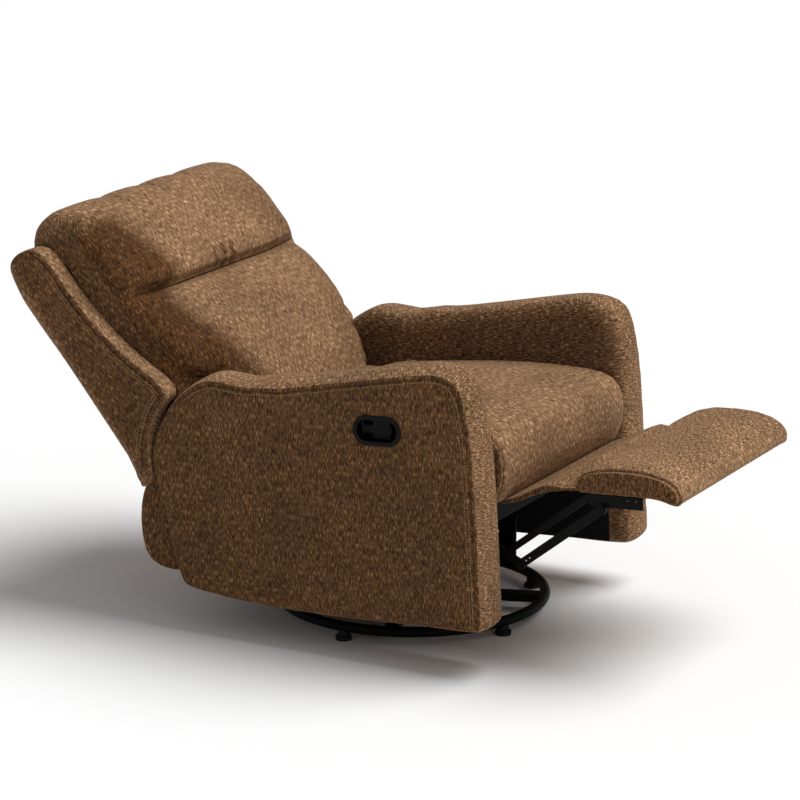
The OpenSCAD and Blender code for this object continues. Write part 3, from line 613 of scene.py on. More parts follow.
# %% Finish of the covers
def fresh_material(name):
    material = bpy.data.materials.new(name)
    material.use_nodes = True
    tree = material.node_tree
    return material, tree, tree.nodes["Principled BSDF"]


def cloth_finish(name, yarn_colour, light_colour, dark_colour, nap_shade_tint, sheen):
    material, tree, shader = fresh_material(name)
    uv = added(tree, "ShaderNodeUVMap", uv_map="weave").outputs["UV"]
    place = added(tree, "ShaderNodeTexCoord").outputs["Object"]
    nap_shade = added(tree, "ShaderNodeAttribute", attribute_name="nap_shade").outputs["Fac"]
    cloth = added(tree, "ShaderNodeGroup", node_tree=weave)
    for socket, source in (("Cloth", uv), ("Place", place), ("Nap shade", nap_shade)):
        tree.links.new(source, cloth.inputs[socket])
    for socket, colour in (
        ("Yarn", yarn_colour), ("Light fibre", light_colour), ("Dark fibre", dark_colour),
        ("Nap shade tint", nap_shade_tint),
    ):
        cloth.inputs[socket].default_value = colour
    bump = added(
        tree, "ShaderNodeBump", {"Height": cloth.outputs["Height"], "Strength": 0.5, "Distance": 0.0006}
    )
    tree.links.new(cloth.outputs["Colour"], shader.inputs["Base Color"])
    tree.links.new(bump.outputs["Normal"], shader.inputs["Normal"])
    shader.inputs["Roughness"].default_value = 0.92
    shader.inputs["Specular IOR Level"].default_value = 0.16
    shader.inputs["Sheen Weight"].default_value = sheen
    shader.inputs["Sheen Roughness"].default_value = 0.45
    shader.inputs["Sheen Tint"].default_value = linear(214, 178, 138)
    return material


# The nap tint is the colour of the painted shade laid over panels that turn away from the light.
chenille = cloth_finish(
    "brown chenille", yarn_colour=linear(130, 96, 67), light_colour=linear(206, 170, 130),
    dark_colour=linear(58, 36, 21), nap_shade_tint=(0.36, 0.27, 0.165, 1.0), sheen=0.08,
)
print("the weave has", len(weave.nodes), "nodes")

# %% [markdown]
# The thread is a shade lighter than the cloth, and uneven along its length. The seam line stands for
# the shadow and the crushed pile in a seam's valley, so it is dark and dull. Both differ only in
# their colours and values, so one helper makes them.

# %% Finishes of the thread and the seams
def uneven_finish(name, dark_colour, light_colour, size, detail, roughness):
    material, tree, shader = fresh_material(name)
    place = added(tree, "ShaderNodeTexCoord").outputs["Object"]
    colour = mixed(tree, noise(tree, place, size, detail), dark_colour, light_colour)
    tree.links.new(colour, shader.inputs["Base Color"])
    shader.inputs["Roughness"].default_value = roughness
    return material, shader


thread_finish, _ = uneven_finish("thread", linear(118, 86, 56), linear(170, 134, 96), 900.0, 1.0, 0.7)
seam_shade, seam_shader = uneven_finish("seam line", linear(46, 29, 17), linear(84, 57, 36), 260.0, 2.0, 0.95)
seam_shader.inputs["Specular IOR Level"].default_value = 0.1

# %% [markdown]
# The black parts differ: the steel is powder coated, with a faint orange peel, the moulded plastic is
# grained, and the lining under the seat is a thin black felt. The hidden boards are hardwood.

# %% Finishes of the hard parts
surface_grain, grain_given, grain_result = group_tree(
    "fine grain", [("Place", VECTOR), ("Size", FLOAT), ("Low", FLOAT), ("High", FLOAT)],
    [("Roughness", FLOAT), ("Height", FLOAT)],
)
grain_place, grain_size, grain_low, grain_high = grain_given.outputs[:4]
grain_fine = noise(surface_grain, grain_place, grain_size, 3.0)
grain_wide = noise(surface_grain, grain_place, 14.0, 4.0, 0.6)
grain_rough = ranged(surface_grain, grain_wide, 0.3, 0.7, grain_low, grain_high)
surface_grain.links.new(grain_rough, grain_result.inputs["Roughness"])
surface_grain.links.new(grain_fine, grain_result.inputs["Height"])


def hard_finish(name, colour, rough, grains, depth, metal=0.0, specular=0.5):
    """rough is the range of roughness, grains their number to a metre, and depth their height."""
    material, tree, shader = fresh_material(name)
    place = added(tree, "ShaderNodeTexCoord").outputs["Object"]
    grain = added(tree, "ShaderNodeGroup", node_tree=surface_grain)
    tree.links.new(place, grain.inputs["Place"])
    for socket, value in (("Size", grains), ("Low", rough[0]), ("High", rough[1])):
        grain.inputs[socket].default_value = value
    tint = mixed(
        tree, noise(tree, place, 9.0, 3.0), tuple(0.8 * c for c in colour[:3]) + (1.0,),
        tuple(min(1, 1.25 * c) for c in colour[:3]) + (1.0,),
    )
    tree.links.new(tint, shader.inputs["Base Color"])
    tree.links.new(grain.outputs["Roughness"], shader.inputs["Roughness"])
    bump = added(
        tree, "ShaderNodeBump", {"Height": grain.outputs["Height"], "Strength": 0.35, "Distance": depth}
    )
    tree.links.new(bump.outputs["Normal"], shader.inputs["Normal"])
    shader.inputs["Metallic"].default_value = metal
    shader.inputs["Specular IOR Level"].default_value = specular
    return material


powder_coat = hard_finish(
    "black powder coat", linear(3, 3, 3), rough=(0.45, 0.6), grains=900.0, depth=0.0002, specular=0.12
)
dark_steel = hard_finish(
    "dark steel", linear(78, 78, 80), rough=(0.3, 0.5), grains=700.0, depth=0.0001, metal=0.9
)
foot_plastic = hard_finish(
    "foot plastic", linear(12, 12, 13), rough=(0.5, 0.7), grains=1100.0, depth=0.0003, specular=0.3
)
release_plastic = hard_finish(
    "release plastic", linear(4, 5, 6), rough=(0.48, 0.62), grains=1500.0, depth=0.0002, specular=0.14
)

# %% [markdown]
# The lining is a felt of long and short fibres, and the hardwood has year rings and pores drawn out
# along the board. Neither shares the grain of the hard parts, so each has its own few nodes.

# %% Lining felt and hardwood
lining_felt, lining_tree, lining_shader = fresh_material("black lining felt")
lining_place = added(lining_tree, "ShaderNodeTexCoord").outputs["Object"]
lining_fibre = noise(lining_tree, stretched(lining_tree, lining_place, (300, 900, 240)), 1.0, 3.0, 0.7)
lining_tree.links.new(
    mixed(lining_tree, lining_fibre, linear(7, 8, 8), linear(24, 25, 27)), lining_shader.inputs["Base Color"]
)
lining_bump = added(
    lining_tree, "ShaderNodeBump", {"Height": lining_fibre, "Strength": 0.5, "Distance": 0.0004}
)
lining_tree.links.new(lining_bump.outputs["Normal"], lining_shader.inputs["Normal"])
lining_shader.inputs["Roughness"].default_value = 0.9
lining_shader.inputs["Specular IOR Level"].default_value = 0.2

hardwood, wood_tree, wood_shader = fresh_material("hardwood")
wood_place = added(wood_tree, "ShaderNodeTexCoord").outputs["Object"]
wood_rings = added(
    wood_tree, "ShaderNodeTexWave",
    {"Vector": stretched(wood_tree, wood_place, (3, 30, 30)), "Scale": 1.5, "Distortion": 6.0, "Detail": 3.0,
     "Detail Scale": 1.2},
    wave_type="BANDS", bands_direction="Z",
).outputs["Fac"]
wood_pores = noise(wood_tree, stretched(wood_tree, wood_place, (25, 700, 700)), 1.0, 2.0, 0.6)
wood_colour = mixed(wood_tree, wood_rings, linear(176, 138, 92), linear(206, 170, 122))
pore_share = ranged(wood_tree, wood_pores, 0.55, 0.75, 0.0, 0.5)
wood_colour = mixed(wood_tree, pore_share, wood_colour, linear(120, 84, 50))
wood_tree.links.new(wood_colour, wood_shader.inputs["Base Color"])
wood_bump = added(wood_tree, "ShaderNodeBump", {"Height": wood_pores, "Strength": 0.3, "Distance": 0.0003})
wood_tree.links.new(wood_bump.outputs["Normal"], wood_shader.inputs["Normal"])
wood_shader.inputs["Roughness"].default_value = 0.6

# %% [markdown]
# Every hard node of the construction model stays as it is and is only given its finish. What isn't
# in the list below is powder-coated steel. The soft nodes get no finish, because covers replace them.

# %% Finishes on the hard parts
FINISHES = [
    (foot_plastic, ["base_feet"]),
    (dark_steel, [
        "swivel_pin", "front_swing_link_left", "front_swing_link_right", "rear_swing_link_left",
        "rear_swing_link_right", "seat_springs",
    ]),
    (release_plastic, ["lever_bezel", "lever_pull"]),
    (hardwood, ["rear_rail", "back_frame", "footrest_board"]),
    (lining_felt, ["arm_lining_left", "arm_lining_right", "seat_box"]),
]
SOFT_NODES = {
    "arm_left", "arm_right", "seat_cushion", "lumbar_cushion", "head_pillow", "wing_left", "wing_right",
    "back_panel", "rear_skirt", "footrest_pad", "footrest_flap",
}
finish_of = {node: finish for finish, members in FINISHES for node in members}
for node, solid in nodes.items():
    if node not in SOFT_NODES:
        solid.data.materials.clear()
        solid.data.materials.append(finish_of.get(node, powder_coat))
print(len(nodes) - len(SOFT_NODES), "hard pieces have their finish")

# %% [markdown]
# The weave follows the cloth, so every cover is given a flat pattern of its own, as a cutter would:
# each face is laid on the plane that it nearly lies in, with the yarn along the direction that
# the photograph shows on that side. Nap shade darkens the panels that turn away from the light from
# above and in front: painted shade, together with the darker lie of their pile.

# %% Laying the weave on a cover
NAP_SHADE_SHARE = 0.82
SIDE_FAVOUR = 1.15
PATTERN_STEP = (0.37, 0.53)


def laid(piece, frame_of, yarn_along, nap_shade_on=None, turned_on=None):
    """yarn_along gives, for faces that look along each of the frame's axes, the axis that the yarn
    follows. turned_on picks the panels that look sideways and were cut with the yarn running forward."""
    mesh = piece.data
    origin = frame_of(np.zeros((1, 3)))
    facing = np.empty(len(mesh.polygons) * 3)
    mesh.polygons.foreach_get("normal", facing)
    facing = frame_of(facing.reshape(-1, 3)) - origin
    totals = np.empty(len(mesh.polygons), int)
    mesh.polygons.foreach_get("loop_total", totals)
    corner = np.empty(len(mesh.loops), int)
    mesh.loops.foreach_get("vertex_index", corner)
    at = frame_of(points(piece))[corner]
    side = np.repeat(np.argmax(np.abs(facing) * np.array([SIDE_FAVOUR, 1, 1]), axis=1), totals)
    look = np.repeat(facing, totals, axis=0)
    along = np.array([yarn_along[k] for k in range(3)])[side]
    if turned_on is not None:
        along = np.where((side == 0) & turned_on(at), 1, along)
    across = 3 - side - along
    rows = np.arange(len(corner))
    to_right, to_top = (step * side for step in PATTERN_STEP)
    pattern = np.stack([at[rows, across] + to_right, at[rows, along] + to_top], 1)
    layer = mesh.uv_layers.get("weave") or mesh.uv_layers.new(name="weave")
    layer.data.foreach_set("uv", pattern.astype(np.float32).ravel())
    # Painted shade: the nap shade darkens the panels that turn away from the light.
    nap_shade = mesh.attributes.get("nap_shade") or mesh.attributes.new("nap_shade", "FLOAT", "CORNER")
    dark = np.zeros(len(corner)) if nap_shade_on is None else nap_shade_on(at, look)
    nap_shade.data.foreach_set("value", np.clip(NAP_SHADE_SHARE * dark, 0, 1).astype(np.float32))
    mesh.materials.clear()
    mesh.materials.append(chenille)


def dressed(piece, body, replaced, frame_of, yarn_along, nap_shade_on, turned_on=None):
    laid(piece, frame_of, yarn_along, nap_shade_on, turned_on)
    shaded_smooth(piece)
    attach(piece, body)
    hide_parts(*replaced)
    print(piece.name, len(piece.data.polygons), "faces")


def facing_sideways(look):
    """1 on a cover's side panels, and 0 on what faces forward or up."""
    return rise(np.abs(look[:, 0]), 0.5, 0.3)


# Painted shade on the side panels, darker than the lit top and front, with their darker nap.
def side_panel_nap_shade(at, look):
    return facing_sideways(look)

# %% [markdown]
# The arms and the wings are boards of stuffing. A board could be a box with bevelled edges, but its
# outline has no straight side, so a disc with many corners takes the outline and is extruded across
# the chair. Remeshing gives it an even skin, and then its edges are rolled, the strip between them is
# crowned and the flat panel is let out, by moving points.

# %% Boards of stuffing
FINE_STEP = 0.002
STRIP_DEPTH = 0.03
PANEL_EDGE = 0.010
PANEL_SLOPE = 0.06


def board(name, outline, low_x, high_x):
    """The outline as a many-sided disc, extruded across the chair."""
    bpy.ops.object.select_all(action="DESELECT")
    bpy.ops.mesh.primitive_circle_add(vertices=len(outline), radius=0.1, fill_type="NGON")
    piece = bpy.context.object
    piece.name = name
    for vertex, (y, z) in zip(piece.data.vertices, outline):
        vertex.co = (low_x, y, z)
    bpy.ops.object.mode_set(mode="EDIT")
    bpy.ops.mesh.select_all(action="SELECT")
    bpy.ops.mesh.extrude_region_move(TRANSFORM_OT_translate={"value": (high_x - low_x, 0, 0)})
    bpy.ops.object.mode_set(mode="OBJECT")
    faced_out(piece)
    return piece


def across_at(line, x):
    return np.column_stack([np.full(len(line), x), line])


def nearest_on(outline, places):
    """The outline finely divided, its way inwards, and each place's nearest point and depth there."""
    fine = evenly(outline, FINE_STEP, closed=True)
    inward = inset(fine, 1.0) - fine
    tree = tree_of([(0, y, z) for y, z in fine])
    found = [tree.find((0, y, z)) for _, y, z in places]
    return fine, inward, np.array([item[1] for item in found]), np.array([item[2] for item in found])


def edge_rolled(piece, outline, face_x, outward, radius_of):
    """Rolls the edge between a board's strip and its face, by the radius that each place has."""
    places = points(piece)
    fine, inward, nearest, deep = nearest_on(outline, places)
    below = outward * (face_x - places[:, 0])
    radius = radius_of(across_at(fine, face_x))[nearest]
    near = (deep < radius) & (below < radius)
    turn = math.pi / 4 * (1 + (below - deep) / radius)
    rolled = fine[nearest] + inward[nearest] * (radius * (1 - np.sin(turn)))[:, None]
    places[near, 1:] = rolled[near]
    places[near, 0] = (face_x - outward * radius * (1 - np.cos(turn)))[near]
    move_to(piece, places)


def full_strip(piece, outline, low_x, high_x, fullness):
    """Crowns the strip that runs round a board, between its two edges."""
    places = points(piece)
    _, inward, nearest, deep = nearest_on(outline, places)
    share = rise(np.abs(places[:, 0]), low_x, high_x - low_x)
    crown = fullness * np.sin(math.pi * share) ** 0.8 * np.clip(1 - deep / STRIP_DEPTH, 0, 1)
    places[:, 1:] -= inward[nearest] * crown[:, None]
    move_to(piece, places)


def full_panel(piece, outline, face_x, outward, fullness):
    """Lets the flat panel stand out a little between its seams."""
    places = points(piece)
    on_face = np.clip(1 - outward * (face_x - places[:, 0]) / PANEL_EDGE, 0, 1)
    edge = gaps_to(across_at(outline, face_x), places)
    places[:, 0] += outward * on_face * fullness * rise(edge, PANEL_EDGE, PANEL_SLOPE) ** 0.5
    move_to(piece, places)

# %% [markdown]
# An arm's outer panel and the strip round its edge meet in a seam just inside the silhouette, so the
# seam's line is the outline moved inwards. One row of topstitching follows it, and a second one
# beside the front edge. The strip itself is joined by a stitched seam that crosses the crest near the
# front and slants down the inner face. Its corners were read from the photograph.

# %% Seams of an arm
ARM_IN_X = 0.293
ARM_OUT_X = 0.400
ARM_SEAM_INSET = 0.007
ARM_MIDDLE = (-0.02, 0.35)
ARM_SEAM_FROM, ARM_SEAM_TO = 27, 216
ARM_CROSS_SEAM = [
    (-0.3908, 0.6196), (-0.3602, 0.6007), (-0.317, 0.5594), (-0.2874, 0.5187), (-0.2672, 0.4806),
    (-0.262, 0.465),
]
CREST_SLANT = 0.17
CREST_UP = 0.606


def arm_seam():
    """The outer seam as [y, z], from the rear arc over the crest and down the front edge. Its ends
    are two angles in degrees, seen from the arm's middle."""
    loop = inset(arm_outline, ARM_SEAM_INSET)
    placed = to_body(across_at(loop, 0))[:, 1:] - ARM_MIDDLE
    turned = np.degrees(np.arctan2(placed[:, 1], placed[:, 0])) % 360
    order = np.argsort(turned)
    return loop[[k for k in order if ARM_SEAM_FROM < turned[k] < ARM_SEAM_TO]]


def beside(line, distance):
    """An open line moved towards the middle of its panel."""
    step = np.gradient(line, axis=0)
    step /= np.maximum(np.linalg.norm(step, axis=1), 1e-9)[:, None]
    sideways = np.stack([-step[:, 1], step[:, 0]], 1)
    inward = np.sign(np.median(np.sum(sideways * (line.mean(0) - line), axis=1)))
    return line + sideways * inward * distance


def arm_cross_seam(side):
    """The strip's own seam: over the crest, and slanting down the inner face towards the seat."""
    start = ARM_CROSS_SEAM[0][0]
    across = np.linspace(ARM_OUT_X, ARM_IN_X, 12)
    crest = [(side * x, start + CREST_SLANT * (x - ARM_IN_X), CREST_UP) for x in across]
    inner = [(side * ARM_IN_X, y, z) for y, z in ARM_CROSS_SEAM]
    return from_body(np.array(crest + inner))


arm_seam_line = arm_seam()
print("arm seam", len(arm_seam_line), "points")

# %% [markdown]
# The outer edge of an arm is rolled tightly, since the seam lies there, and more loosely low down
# behind. The inner edge is rolled over soft padding, widest along the top. Fibre laid on the crest
# makes it stand a little higher than the board, and low down its rear end bags out behind.

# %% Arms
ARM_VOXEL = 0.0066
OUTER_ROLL, OUTER_ROLL_REAR = 0.0055, 0.006
INNER_ROLL, INNER_ROLL_TOP, INNER_ROLL_FRONT = 0.010, 0.022, 0.008
STRIP_FULLNESS, PANEL_FULLNESS = 0.008, 0.0035
CREST_HIGH = 0.008
CREST_Y, CREST_SHARES = [-0.36, -0.26, 0, 0.08, 0.16], [0, 1, 1, 1.4, 0.1]
REAR_BAG, REAR_BAG_LOW = 0.006, 0.004
FIRST_ROW, SECOND_ROW = 0.0065, 0.0125
SECOND_ROW_BELOW_Z, SECOND_ROW_BEFORE_Y = 0.56, -0.3
CROSS_STEP = 0.003


def arm_outer_radius(places):
    _, y, z = to_body(places).T
    rear = rise(y, 0.19, 0.08) * fall(z, 0.56, 0.06)
    return OUTER_ROLL + OUTER_ROLL_REAR * rear


def arm_inner_radius(places):
    _, y, z = to_body(places).T
    top = INNER_ROLL_TOP * rise(z, 0.44, 0.06)
    front = INNER_ROLL_FRONT * fall(y, -0.32, 0.02) * (z < 0.5)
    return INNER_ROLL + top + front


def arm_form(side, name):
    """The board of one arm with its edges rolled, and its crest, rear end and panel filled out."""
    piece = board(name, arm_outline, side * ARM_IN_X, side * ARM_OUT_X)
    remeshed(piece, ARM_VOXEL)
    edge_rolled(piece, arm_outline, side * ARM_OUT_X, side, arm_outer_radius)
    edge_rolled(piece, arm_outline, side * ARM_IN_X, -side, arm_inner_radius)
    full_strip(piece, arm_outline, ARM_IN_X, ARM_OUT_X, STRIP_FULLNESS)
    x, y, z = to_body(points(piece)).T
    crest = rise(z, 0.50, 0.06) * np.interp(y, CREST_Y, CREST_SHARES)
    crest *= fall(np.abs(x), ARM_OUT_X - 0.006, 0.030)
    behind = rise(y, 0.14, 0.06) * fall(z, 0.47, 0.07)
    bag = REAR_BAG + REAR_BAG_LOW * fall(z, 0.32, 0.10)
    move_to(piece, from_body(np.stack([x, y + behind * bag, z + CREST_HIGH * crest], 1)))
    smoothed(piece, 3)
    full_panel(piece, arm_outline, side * ARM_OUT_X, side, PANEL_FULLNESS)
    applied(piece, "SUBSURF", levels=1, render_levels=1)
    return piece


def arm_cover(side):
    name = "arm_cover_" + ("left" if side > 0 else "right")
    piece = arm_form(side, name)
    seam, _ = on_skin(piece, across_at(arm_seam_line, side * ARM_OUT_X))
    cross, _ = on_skin(piece, evenly(arm_cross_seam(side), CROSS_STEP))
    sewn(piece, seam, depth=0.0022, width=0.0032, roll=0.4)
    sewn(piece, cross, depth=0.0028, width=0.0036, roll=0.35)
    placed = to_body(across_at(arm_seam_line, 0))
    down_front = (placed[:, 2] < SECOND_ROW_BELOW_Z) & (placed[:, 1] < SECOND_ROW_BEFORE_Y)
    rows = [
        across_at(beside(arm_seam_line, FIRST_ROW), side * ARM_OUT_X),
        across_at(beside(arm_seam_line[down_front], SECOND_ROW), side * ARM_OUT_X),
        cross,
    ]
    stitched(name.replace("cover", "thread"), piece, "seat", rows=rows, seams=[seam])
    return piece

# %% [markdown]
# The release on the sitter's right arm is a cup let into the outer panel. The cover has no hole
# there. Its points inside the cup's rim are pushed behind the cup instead, and the cloth dips
# towards the rim, as it does where a bezel presses on it.

# %% Recess for the release, and the arms' covers
RELEASE_MIDDLE = (-0.160, 0.485)
RELEASE_HALF_LONG, RELEASE_HALF_HIGH = 0.0490, 0.0255
RECESS_DEEP = 0.0275
DIP_DEEP, DIP_WIDE = 0.0040, 0.010
OUTER_PANEL_FROM_X, INNER_PANEL_TO_X = 0.38, 0.34


def release_recess(piece):
    """Lets the release's cup into the outer panel of the sitter's right arm."""
    places = points(piece)
    _, y, z = to_body(places).T
    y, z = y - RELEASE_MIDDLE[0], z - RELEASE_MIDDLE[1]
    straight = RELEASE_HALF_LONG - RELEASE_HALF_HIGH
    over = np.hypot(np.maximum(np.abs(y) - straight, 0), z) - RELEASE_HALF_HIGH
    on_panel = places[:, 0] < -OUTER_PANEL_FROM_X
    places[(over < 0) & on_panel, 0] += RECESS_DEEP
    places[:, 0] += DIP_DEEP * (bell(np.clip(over, 0, None), DIP_WIDE) * on_panel * (over > 0))
    move_to(piece, places)


def arm_nap_shade(at, look):
    """Painted shade with the darker nap: the outer panel is darkest, the inner one half as much, and the
    front a little.
    """
    outer = rise(np.abs(look[:, 0]), 0.45, 0.3) * np.where(np.abs(at[:, 0]) > 0.36, 1.0, 0.5)
    front = 0.3 * rise(-look[:, 1], 0.4, 0.3)
    return np.maximum(outer, front)


def inner_panel(at):
    return np.abs(at[:, 0]) < INNER_PANEL_TO_X


for side, node in ((1, "arm_left"), (-1, "arm_right")):
    cover = arm_cover(side)
    if side < 0:
        release_recess(cover)
    dressed(cover, "seat", [node], to_body, (2, 0, 0), arm_nap_shade, inner_panel)

# %% [markdown]
# A cushion starts as a copy of its solid in the construction model, remeshed to an even skin and
# relaxed until its edges are round. That takes some of its fullness, which is then given back. Its seams
# follow the line where a plane cuts the cover, which the bisect operator finds.

# %% Helpers for cushions
def cushion_form(node, name, voxel, relax):
    piece = cad_copy(node, name)
    remeshed(piece, voxel)
    smoothed(piece, relax)
    return piece


def filled_out(piece, distance, half_width=None):
    """Gives back the fullness that smoothing took, and keeps the sides clear of the neighbours."""
    places = points(piece) + normals(piece) * distance
    if half_width is not None:
        places[:, 0] = np.clip(places[:, 0], -half_width, half_width)
    move_to(piece, places)


def profile_line(piece, x):
    """The closed line where the cover crosses this distance across the chair, in order."""
    cage = bmesh.new()
    cage.from_mesh(piece.data)
    cut = bmesh.ops.bisect_plane(
        cage, geom=cage.verts[:] + cage.edges[:] + cage.faces[:], plane_co=(x, 0, 0), plane_no=(1, 0, 0)
    )
    rim = np.array([v.co[:] for v in cut["geom_cut"] if isinstance(v, bmesh.types.BMVert)])
    cage.free()
    order, left = [0], set(range(1, len(rim)))
    while left:
        following = min(left, key=lambda i: np.sum((rim[i] - rim[order[-1]]) ** 2))
        order.append(following)
        left.remove(following)
    return rim[order]

# %% [markdown]
# The seat cushion has a full front that rolls over the edge, and a crown across its width. Its top
# panel wraps from the back down over the front, and side panels are sewn in along its profile. A
# subdivided box would keep its box edges, so the swelling comes from the cloth simulation.

# %% Seat cushion
SEAT_SEAM_X = 0.281
SEAT_HALF = 0.2925
SEAT_FULLNESS = 0.0070
SEAM_LINE_STEP = 0.004

seat_cover = cushion_form("seat_cushion", "seat_cover", voxel=0.006, relax=6)
filled_out(seat_cover, SEAT_FULLNESS, SEAT_HALF)
held_seams = np.concatenate([profile_line(seat_cover, side * SEAT_SEAM_X) for side in (-1, 1)])
puffed(seat_cover, cap=0.004, held_lines=held_seams)
applied(seat_cover, "SUBSURF", levels=1, render_levels=1)
seat_seams = [evenly(profile_line(seat_cover, side * SEAT_SEAM_X), SEAM_LINE_STEP) for side in (-1, 1)]
for line in seat_seams:
    sewn(seat_cover, line, depth=0.0012, width=0.0030, roll=0)
stitched("seat_thread", seat_cover, "seat", seams=seat_seams)
dressed(seat_cover, "seat", ["seat_cushion"], to_body, (2, 2, 1), side_panel_nap_shade)

# %% [markdown]
# The back's cushion is one cover over two stuffings. A deep seam draws it in between the lumbar
# part and the head pillow, so the pillow overhangs the seam like a brow. Two separate cushions
# would show a gap there, so the two solids are joined and remeshed into one skin.

# %% Form of the back cushion
REACH = 0.671
DEEP_SEAM_UP = REACH * 0.6222
DEEP_SEAM_HALF = 0.325
SEAM_LIFT = 0.012
BACK_HALF = 0.3512
CROWN = 0.018
VALLEY, BROW, CHEEK, OVERHANG = 0.016, 0.009, 0.003, 0.008
FLANK_BEHIND = 0.036
TOP_LIFT = 0.005
BACK_VOXEL, BACK_FULLNESS = 0.006, 0.006
SEAM_RAYS, CAST_FORWARD = 180, 0.14

back_cover = cad_copy("lumbar_cushion", "back_cover")
pillow = cad_copy("head_pillow", "pillow")
alone(back_cover)
pillow.select_set(True)
bpy.ops.object.join()
remeshed(back_cover, BACK_VOXEL)
smoothed(back_cover, 5)
filled_out(back_cover, BACK_FULLNESS)


def seam_up(across):
    """How far up the back the deep seam lies: it lifts a little towards the flanks."""
    return DEEP_SEAM_UP + SEAM_LIFT * rise(np.abs(across), 0.15, 0.18) ** 2


def crowned(across):
    return CROWN * rise(np.abs(across), 0.08, 0.27) ** 2.5


def drawn_in(piece):
    """Crowns the cushion, spreads its flanks to the wings, and draws it in along the deep seam."""
    across, forward, up = to_back(points(piece)).T
    above = up - seam_up(across)
    front = rise(forward, -0.10, 0.05)
    sewn_share = front * fall(np.abs(across), DEEP_SEAM_HALF + 0.012, 0.05) ** 0.6
    valley = VALLEY * bell(above, 0.007)
    brow = BROW * bell(above - 0.036, 0.028)
    cheek = CHEEK * bell(above + 0.045, 0.035)
    forward = forward - front * crowned(across) + sewn_share * (brow + cheek - valley)
    up = up - sewn_share * (OVERHANG * bell(above - 0.016, 0.012))
    flank = rise(np.abs(across), 0.22, 0.05) * fall(forward, -0.012, 0.03)
    flank *= fall(up, 0.655, 0.07)
    wide = np.abs(across) + (BACK_HALF - np.abs(across)) * flank
    along_wing = np.interp(up, [0.2, 0.3, 0.54, 0.6], [0, 1, 1, 0])
    forward = forward - FLANK_BEHIND * flank * fall(forward, -0.10, 0.05) * along_wing
    up = up + TOP_LIFT * rise(up, 0.60, 0.05)
    move_to(piece, from_back(np.stack([np.sign(across) * wide, forward, up], 1)))


def deep_seam():
    """A line in front of the deep seam, from flank to flank. Cast onto the cover, it marks the seam."""
    across = np.linspace(-DEEP_SEAM_HALF, DEEP_SEAM_HALF, SEAM_RAYS)
    return from_back(np.stack([across, np.full(SEAM_RAYS, CAST_FORWARD), seam_up(across)], 1))


def dropped(piece, line, toward):
    """Where rays from the line, cast in one direction, meet the cover."""
    tree = BVHTree.FromObject(piece, bpy.context.evaluated_depsgraph_get())
    spots = [tree.ray_cast(Vector(place), Vector(toward))[0] for place in line]
    return np.array([spot for spot in spots if spot is not None])


into_back = from_back([[0, -1, 0]])[0] - from_back([[0, 0, 0]])[0]
drawn_in(back_cover)
smoothed(back_cover, 1)
puffed(back_cover, cap=0.005, held_lines=dropped(back_cover, deep_seam(), into_back))
applied(back_cover, "SUBSURF", levels=1, render_levels=1)

# %% [markdown]
# The deep seam gathers the cloth above it in short puckers. Three stitched gathers hold the pillow's
# top edge, so its outline rises and falls between them. Waves of two lengths, one shifting the
# other, keep the puckers from looking counted. The wings press the flanks flat.

# %% Puckers and gathers of the back cushion
GATHER_X = (-0.158, -0.012, 0.128)
PUCKER_WAVE, PUCKER_DRIFT, PUCKER_FADE = 0.047, 0.19, 0.31
PUCKER_ABOVE, PUCKER_BELOW = 0.0052, 0.0014
NOTCH, CREASE = 0.0060, 0.0012
WING_PRESS = 0.0015


def gathered(piece):
    """Puckers above and below the deep seam, and the notches of the gathers on the top edge.
    Behind the front, the flanks are pressed flat against the wings."""
    places, out = points(piece), normals(piece)
    across, forward, up = to_back(places).T
    above = up - seam_up(across)
    front = rise(forward, -0.09, 0.04) * fall(np.abs(across), 0.31, 0.05)
    drift = 1.8 * np.sin(math.tau * across / PUCKER_DRIFT)
    fade = 0.5 + 0.5 * np.sin(math.tau * across / PUCKER_FADE + 1)
    ripple = np.sin(math.tau * across / PUCKER_WAVE + drift) * fade
    upper = rise(above, 0, 0.014) * np.exp(-np.clip(above, 0, None) / 0.045)
    lower = rise(-above, 0, 0.012) * np.exp(-np.clip(-above, 0, None) / 0.018) * (above < 0)
    lift = ripple * front * (PUCKER_ABOVE * upper + PUCKER_BELOW * lower)
    for x in GATHER_X:
        notch = bell(np.abs(across - x), 0.022, power=1.2)
        crease = bell(across - x - 0.1 * (up - REACH), 0.018)
        lift -= NOTCH * notch * rise(up, REACH * 0.90, 0.03)
        lift -= CREASE * crease * rise(up, REACH * 0.80, 0.06)
    places = places + out * lift[:, None]
    across, forward, up = to_back(places).T
    beside_wing = rise(np.abs(across), 0.330, 0.012) * fall(forward, -0.030, 0.02)
    beside_wing *= fall(up, 0.62, 0.03)
    wide = np.abs(across) + (BACK_HALF + WING_PRESS - np.abs(across)) * beside_wing
    move_to(piece, from_back(np.stack([np.sign(across) * wide, forward, up], 1)))


def back_nap_shade(at, look):
    """Painted shade with the darker nap: on the cushion's shoulders, most on the sitter's right, away from
    the key light, and where it turns to the flanks.
    """
    across, up = at[:, 0], at[:, 2]
    edge = np.interp(up, [0.10, 0.38, 0.44, 0.62], [0.11, 0.23, 0.15, 0.23])
    shoulder = rise(np.abs(across), edge, 0.060) * rise(look[:, 1], 0, 0.3)
    shoulder *= np.where(across < 0, 1.22, 0.35) * fall(up, 0.635, 0.05)
    turned = rise(np.abs(look[:, 0]), 0.12, 0.36) * np.maximum(fall(up, 0.66, 0.05), 0.4)
    return np.maximum(shoulder, 0.9 * turned)


gathered(back_cover)
deep_line = relaxed(dropped(back_cover, deep_seam(), into_back), 6)
